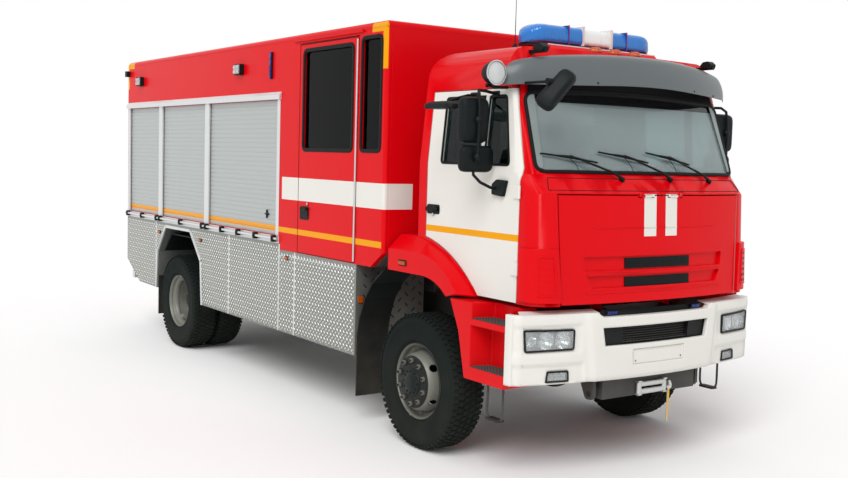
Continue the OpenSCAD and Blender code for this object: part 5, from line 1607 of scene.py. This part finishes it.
# %% Body lamps
lamps = Shape()
REAR, SIDE, TOP, SILL, CREW = -6.42, BODY_SIDE, 3.31, 1.345, -2.24
for x in (REAR + 0.484, CREW - 0.892):
    lamps.plate((x - 0.074, TOP - 0.308, x + 0.074, TOP - 0.202), 0.014, "xz", SIDE, SIDE + 0.048, 0)
    lamps.plate((x - 0.066, TOP - 0.300, x + 0.066, TOP - 0.210), 0.010, "xz", SIDE + 0.047, SIDE + 0.053, 1)
    for k in range(4):
        for m in range(2):
            u, w = x - 0.048 + k * 0.032, TOP - 0.277 + m * 0.044
            lamps.plate((u - 0.013, w - 0.017, u + 0.013, w + 0.017), 0.006, "xz", SIDE + 0.051,
                        SIDE + 0.059, 2)
lamps.plate((CREW - 0.232, TOP - 0.376, CREW - 0.188, TOP - 0.124), 0.008, "xz", SIDE, SIDE + 0.014, 0)
for k in range(4):
    z = TOP - 0.370 + k * 0.0615
    lamps.plate((CREW - 0.2275, z, CREW - 0.1925, z + 0.054), 0.008, "xz", SIDE + 0.012, SIDE + 0.024, 3)
lamps.plate((REAR + 0.010, TOP - 0.180, REAR + 0.080, TOP - 0.110), 0.012, "xz", SIDE, SIDE + 0.048, 0)
for x in (REAR_AXLE - 0.499, REAR_AXLE + 0.706, CREW + 0.161):
    lamps.plate((x - 0.032, SILL - 0.083, x + 0.032, SILL - 0.045), 0.008, "xz", SIDE, SIDE + 0.007, 0)
    lamps.plate((x - 0.027, SILL - 0.079, x + 0.027, SILL - 0.049), 0.007, "xz", SIDE + 0.006, SIDE + 0.016,
                4)
lamps.plate((SIDE - 0.070, 1.02, SIDE - 0.025, 1.08), 0.008, "yz", -0.850, -0.838, 4)
for z, lens in ((1.060, 5), (1.180, 4)):
    lamps.plate((SIDE - 0.230, z, SIDE - 0.060, z + 0.09), 0.012, "yz", REAR, REAR - 0.016)
    for k in range(2):
        y = SIDE - 0.224 + k * 0.081
        lamps.plate((y, z + 0.006, y + 0.077, z + 0.084), 0.010, "yz", REAR - 0.014, REAR - 0.030, lens)
lamps.mirrored().build("side_and_tail_lamps",
                       ["plastic_black", "lens_white", "chrome", "lens_strobe", "lens_orange", "lens_red"],
                       "chassis", bevel=0.002, smooth=35, replaces=["body_lamps"])
print("body lamps made")

# %% [markdown]
# ## Seats
# Three seats stand in the cab and a bench in the crew cabin. Foam under cloth is tight at its
# edges and full in the middle, so one cushion and one back are blown up as cloth and then set at
# each place. A welt runs round each face where the panels are sewn together.

# %% Cushion by cloth simulation
VOXEL, PRESSURE, STEPS, MOST_SWELL = 0.010, 4.0, 20, 0.016
ROOM, WELT = 0.02, 0.004


def cushion_mesh(name, size):
    work = bmesh.new()
    bmesh.ops.create_cube(work, size=1.0)
    for v in work.verts:
        v.co = Vector([v.co[i] * (size[i] - ROOM) for i in range(3)])
    bmesh.ops.bevel(work, geom=list(work.edges), offset=min(size) * 0.26, offset_type="OFFSET", segments=4,
                    profile=0.5, affect="EDGES")
    mesh = bpy.data.meshes.new(name)
    work.to_mesh(mesh)
    work.free()
    pad = bpy.data.objects.new(name, mesh)
    bpy.context.scene.collection.objects.link(pad)
    apply(pad, "REMESH", mode="VOXEL", voxel_size=VOXEL)
    before = [v.co.copy() for v in pad.data.vertices]
    cloth = pad.modifiers.new("cloth", "CLOTH")
    cloth.settings.use_pressure = True
    cloth.settings.uniform_pressure_force = PRESSURE
    cloth.settings.effector_weights.gravity = 0.0
    cloth.point_cache.frame_start, cloth.point_cache.frame_end = 1, STEPS
    for step in range(1, STEPS + 1):
        bpy.context.scene.frame_set(step)
    view = bpy.context.evaluated_depsgraph_get()
    blown = [v.co.copy() for v in pad.evaluated_get(view).data.vertices]
    pad.modifiers.clear()
    bpy.context.scene.frame_set(1)
    for v, a, b in zip(pad.data.vertices, before, blown):
        move = b - a
        v.co = a + move * min(1.0, MOST_SWELL / max(move.length, 1e-9))
    mesh = pad.data.copy()
    bpy.data.objects.remove(pad)
    print(name, len(mesh.vertices), "points")
    return mesh


def place_pad(name, source, scale, centre, body, replaces=()):
    mesh = source.copy()
    half = [max(abs(v.co[i]) for v in mesh.vertices) for i in range(3)]
    place = Vector((centre[0] + AXLE_X, centre[1], centre[2]))
    for v in mesh.vertices:
        v.co = Vector([v.co[i] / half[i] * scale[i] / 2 for i in range(3)]) + place
    piece = dress(name, mesh, ["seat_cloth"], body, smooth=60, replaces=replaces, clean=False)


def welt(shape, centre, half, plane, out):
    outline = fine(rounded(rect(-half[0], -half[1], half[0], half[1]), 0.05, 6), 0.05)
    put = {"xy": lambda p: (centre[0] + p.x, centre[1] + p.y, centre[2] + out),
           "yz": lambda p: (centre[0] + out, centre[1] + p.x, centre[2] + p.y)}[plane]
    shape.tube([put(p) for p in outline], WELT, 6, round_trip=True)


base_pad = cushion_mesh("seat_pad", (0.46, 0.47, 0.15))
back_pad = cushion_mesh("back_pad", (0.075, 0.45, 0.56))

# %% Cab seats and crew bench
welts, stands = Shape(), Shape()
for i, y in enumerate((-0.62, 0.0, 0.62)):
    base, back = (0.196, y, 1.878), (-0.0745, y, 2.262)
    place_pad("cab_seat_base_%d" % i, base_pad, (0.462, 0.472, 0.155), base, "cab",
              [] if i else ["cab_seats"])
    place_pad("cab_seat_back_%d" % i, back_pad, (0.070, 0.452, 0.590), back, "cab")
    welt(welts, base, (0.200, 0.205), "xy", 0.066)
    welt(welts, back, (0.195, 0.265), "yz", 0.030)
    stands.plate((-0.03, y - 0.20, 0.41, y + 0.20), 0.03, "xy", 1.715, 1.803)
    for shift in (-0.13, 0.13):
        stands.tube([(-0.090, y + shift, 1.74), (-0.092, y + shift, 1.98)], 0.014, 10)
welts.build("cab_seat_welts", ["rubber_seal"], "cab", smooth=60)
stands.build("cab_seat_stands", ["steel_dark"], "cab", bevel=0.004)
welts, stands = Shape(), Shape()
for i in range(4):
    y = -0.84 + i * 0.56
    base, back = (CREW + 0.2385, y, 1.7555), (CREW + 0.060, y, 2.148)
    place_pad("crew_seat_base_%d" % i, base_pad, (0.435, 0.545, 0.115), base, "chassis",
              [] if i else ["crew_seats"])
    place_pad("crew_seat_back_%d" % i, back_pad, (0.110, 0.530, 0.630), back, "chassis")
    welt(welts, base, (0.185, 0.235), "xy", 0.0475)
    welt(welts, back, (0.225, 0.275), "yz", 0.048)
stands.box((-2.235, -1.115, 1.396), (-1.80, 1.115, 1.700))
welts.build("crew_seat_welts", ["rubber_seal"], "chassis", smooth=60)
stands.build("crew_bench_box", ["steel_dark"], "chassis", bevel=0.008)
print("seats made")

# %% [markdown]
# ## Dashboard and steering wheel
# Seen through the glass: a dark dashboard with an instrument hood, and the steering wheel. The
# frame's solid gets soft edges and small details, enough for what the panes let through.

# %% Dashboard
copy_node("dashboard", ["dash_plastic"], bevel=0.006, steps=2, smooth=40)
dash = Shape()
dash.prism(rounded([(0.945, 2.05), (1.03, 2.05), (1.06, 2.082), (1.02, 2.128), (0.965, 2.135),
                    (0.945, 2.10)], 0.012), "xz", 0.40, 0.84)
for y in (0.50, 0.62, 0.74):
    dash.turned([(0.001, -0.006), (0.046, -0.006), (0.046, 0.004), (0.040, 0.004), (0.001, 0.002)],
                (0.945, y, 2.088), "x", 24, 1)
dash.turned([(0.001, -0.002), (0.055, -0.002), (0.060, 0.012), (0.050, 0.026), (0.001, 0.032)],
            (0.762, 0.62, 2.104), "z", 28)
for k in range(4):
    dash.box((0.955, -0.70 + k * 0.26, 1.99), (0.962, -0.52 + k * 0.26, 2.05), 1)
dash.build("dash_details", ["dash_plastic", "rubber_seal"], "cab", bevel=0.003, smooth=40)
print("dashboard made")

# %% [markdown]
# ## Finishes for the frame's own solids
# Solids whose shape is already right stay as they are and only get a finish.

# %% Carried-over nodes
CARRIED = {
    "steel_dark": ["frame", "front_axle", "rear_axle", "powertrain", "knuckle_right", "knuckle_left"],
    "plastic_black": ["mudguards"],
    "alu_plate": ["body_floor"],
    "alu_trim": ["rear_step_bar"],
    "glass_screen": ["windscreen"],
    "glass_door": ["cab_door_glass_right", "cab_door_glass_left"],
    "glass_tint": ["crew_windows", "crew_door_glass_right", "crew_door_glass_left"],
}
for label, nodes in CARRIED.items():
    for node in nodes:
        mesh = NODES[node].data
        mesh.materials.clear()
        mesh.materials.append(FINISH[label])
print("finished nodes", sum(map(len, CARRIED.values())))
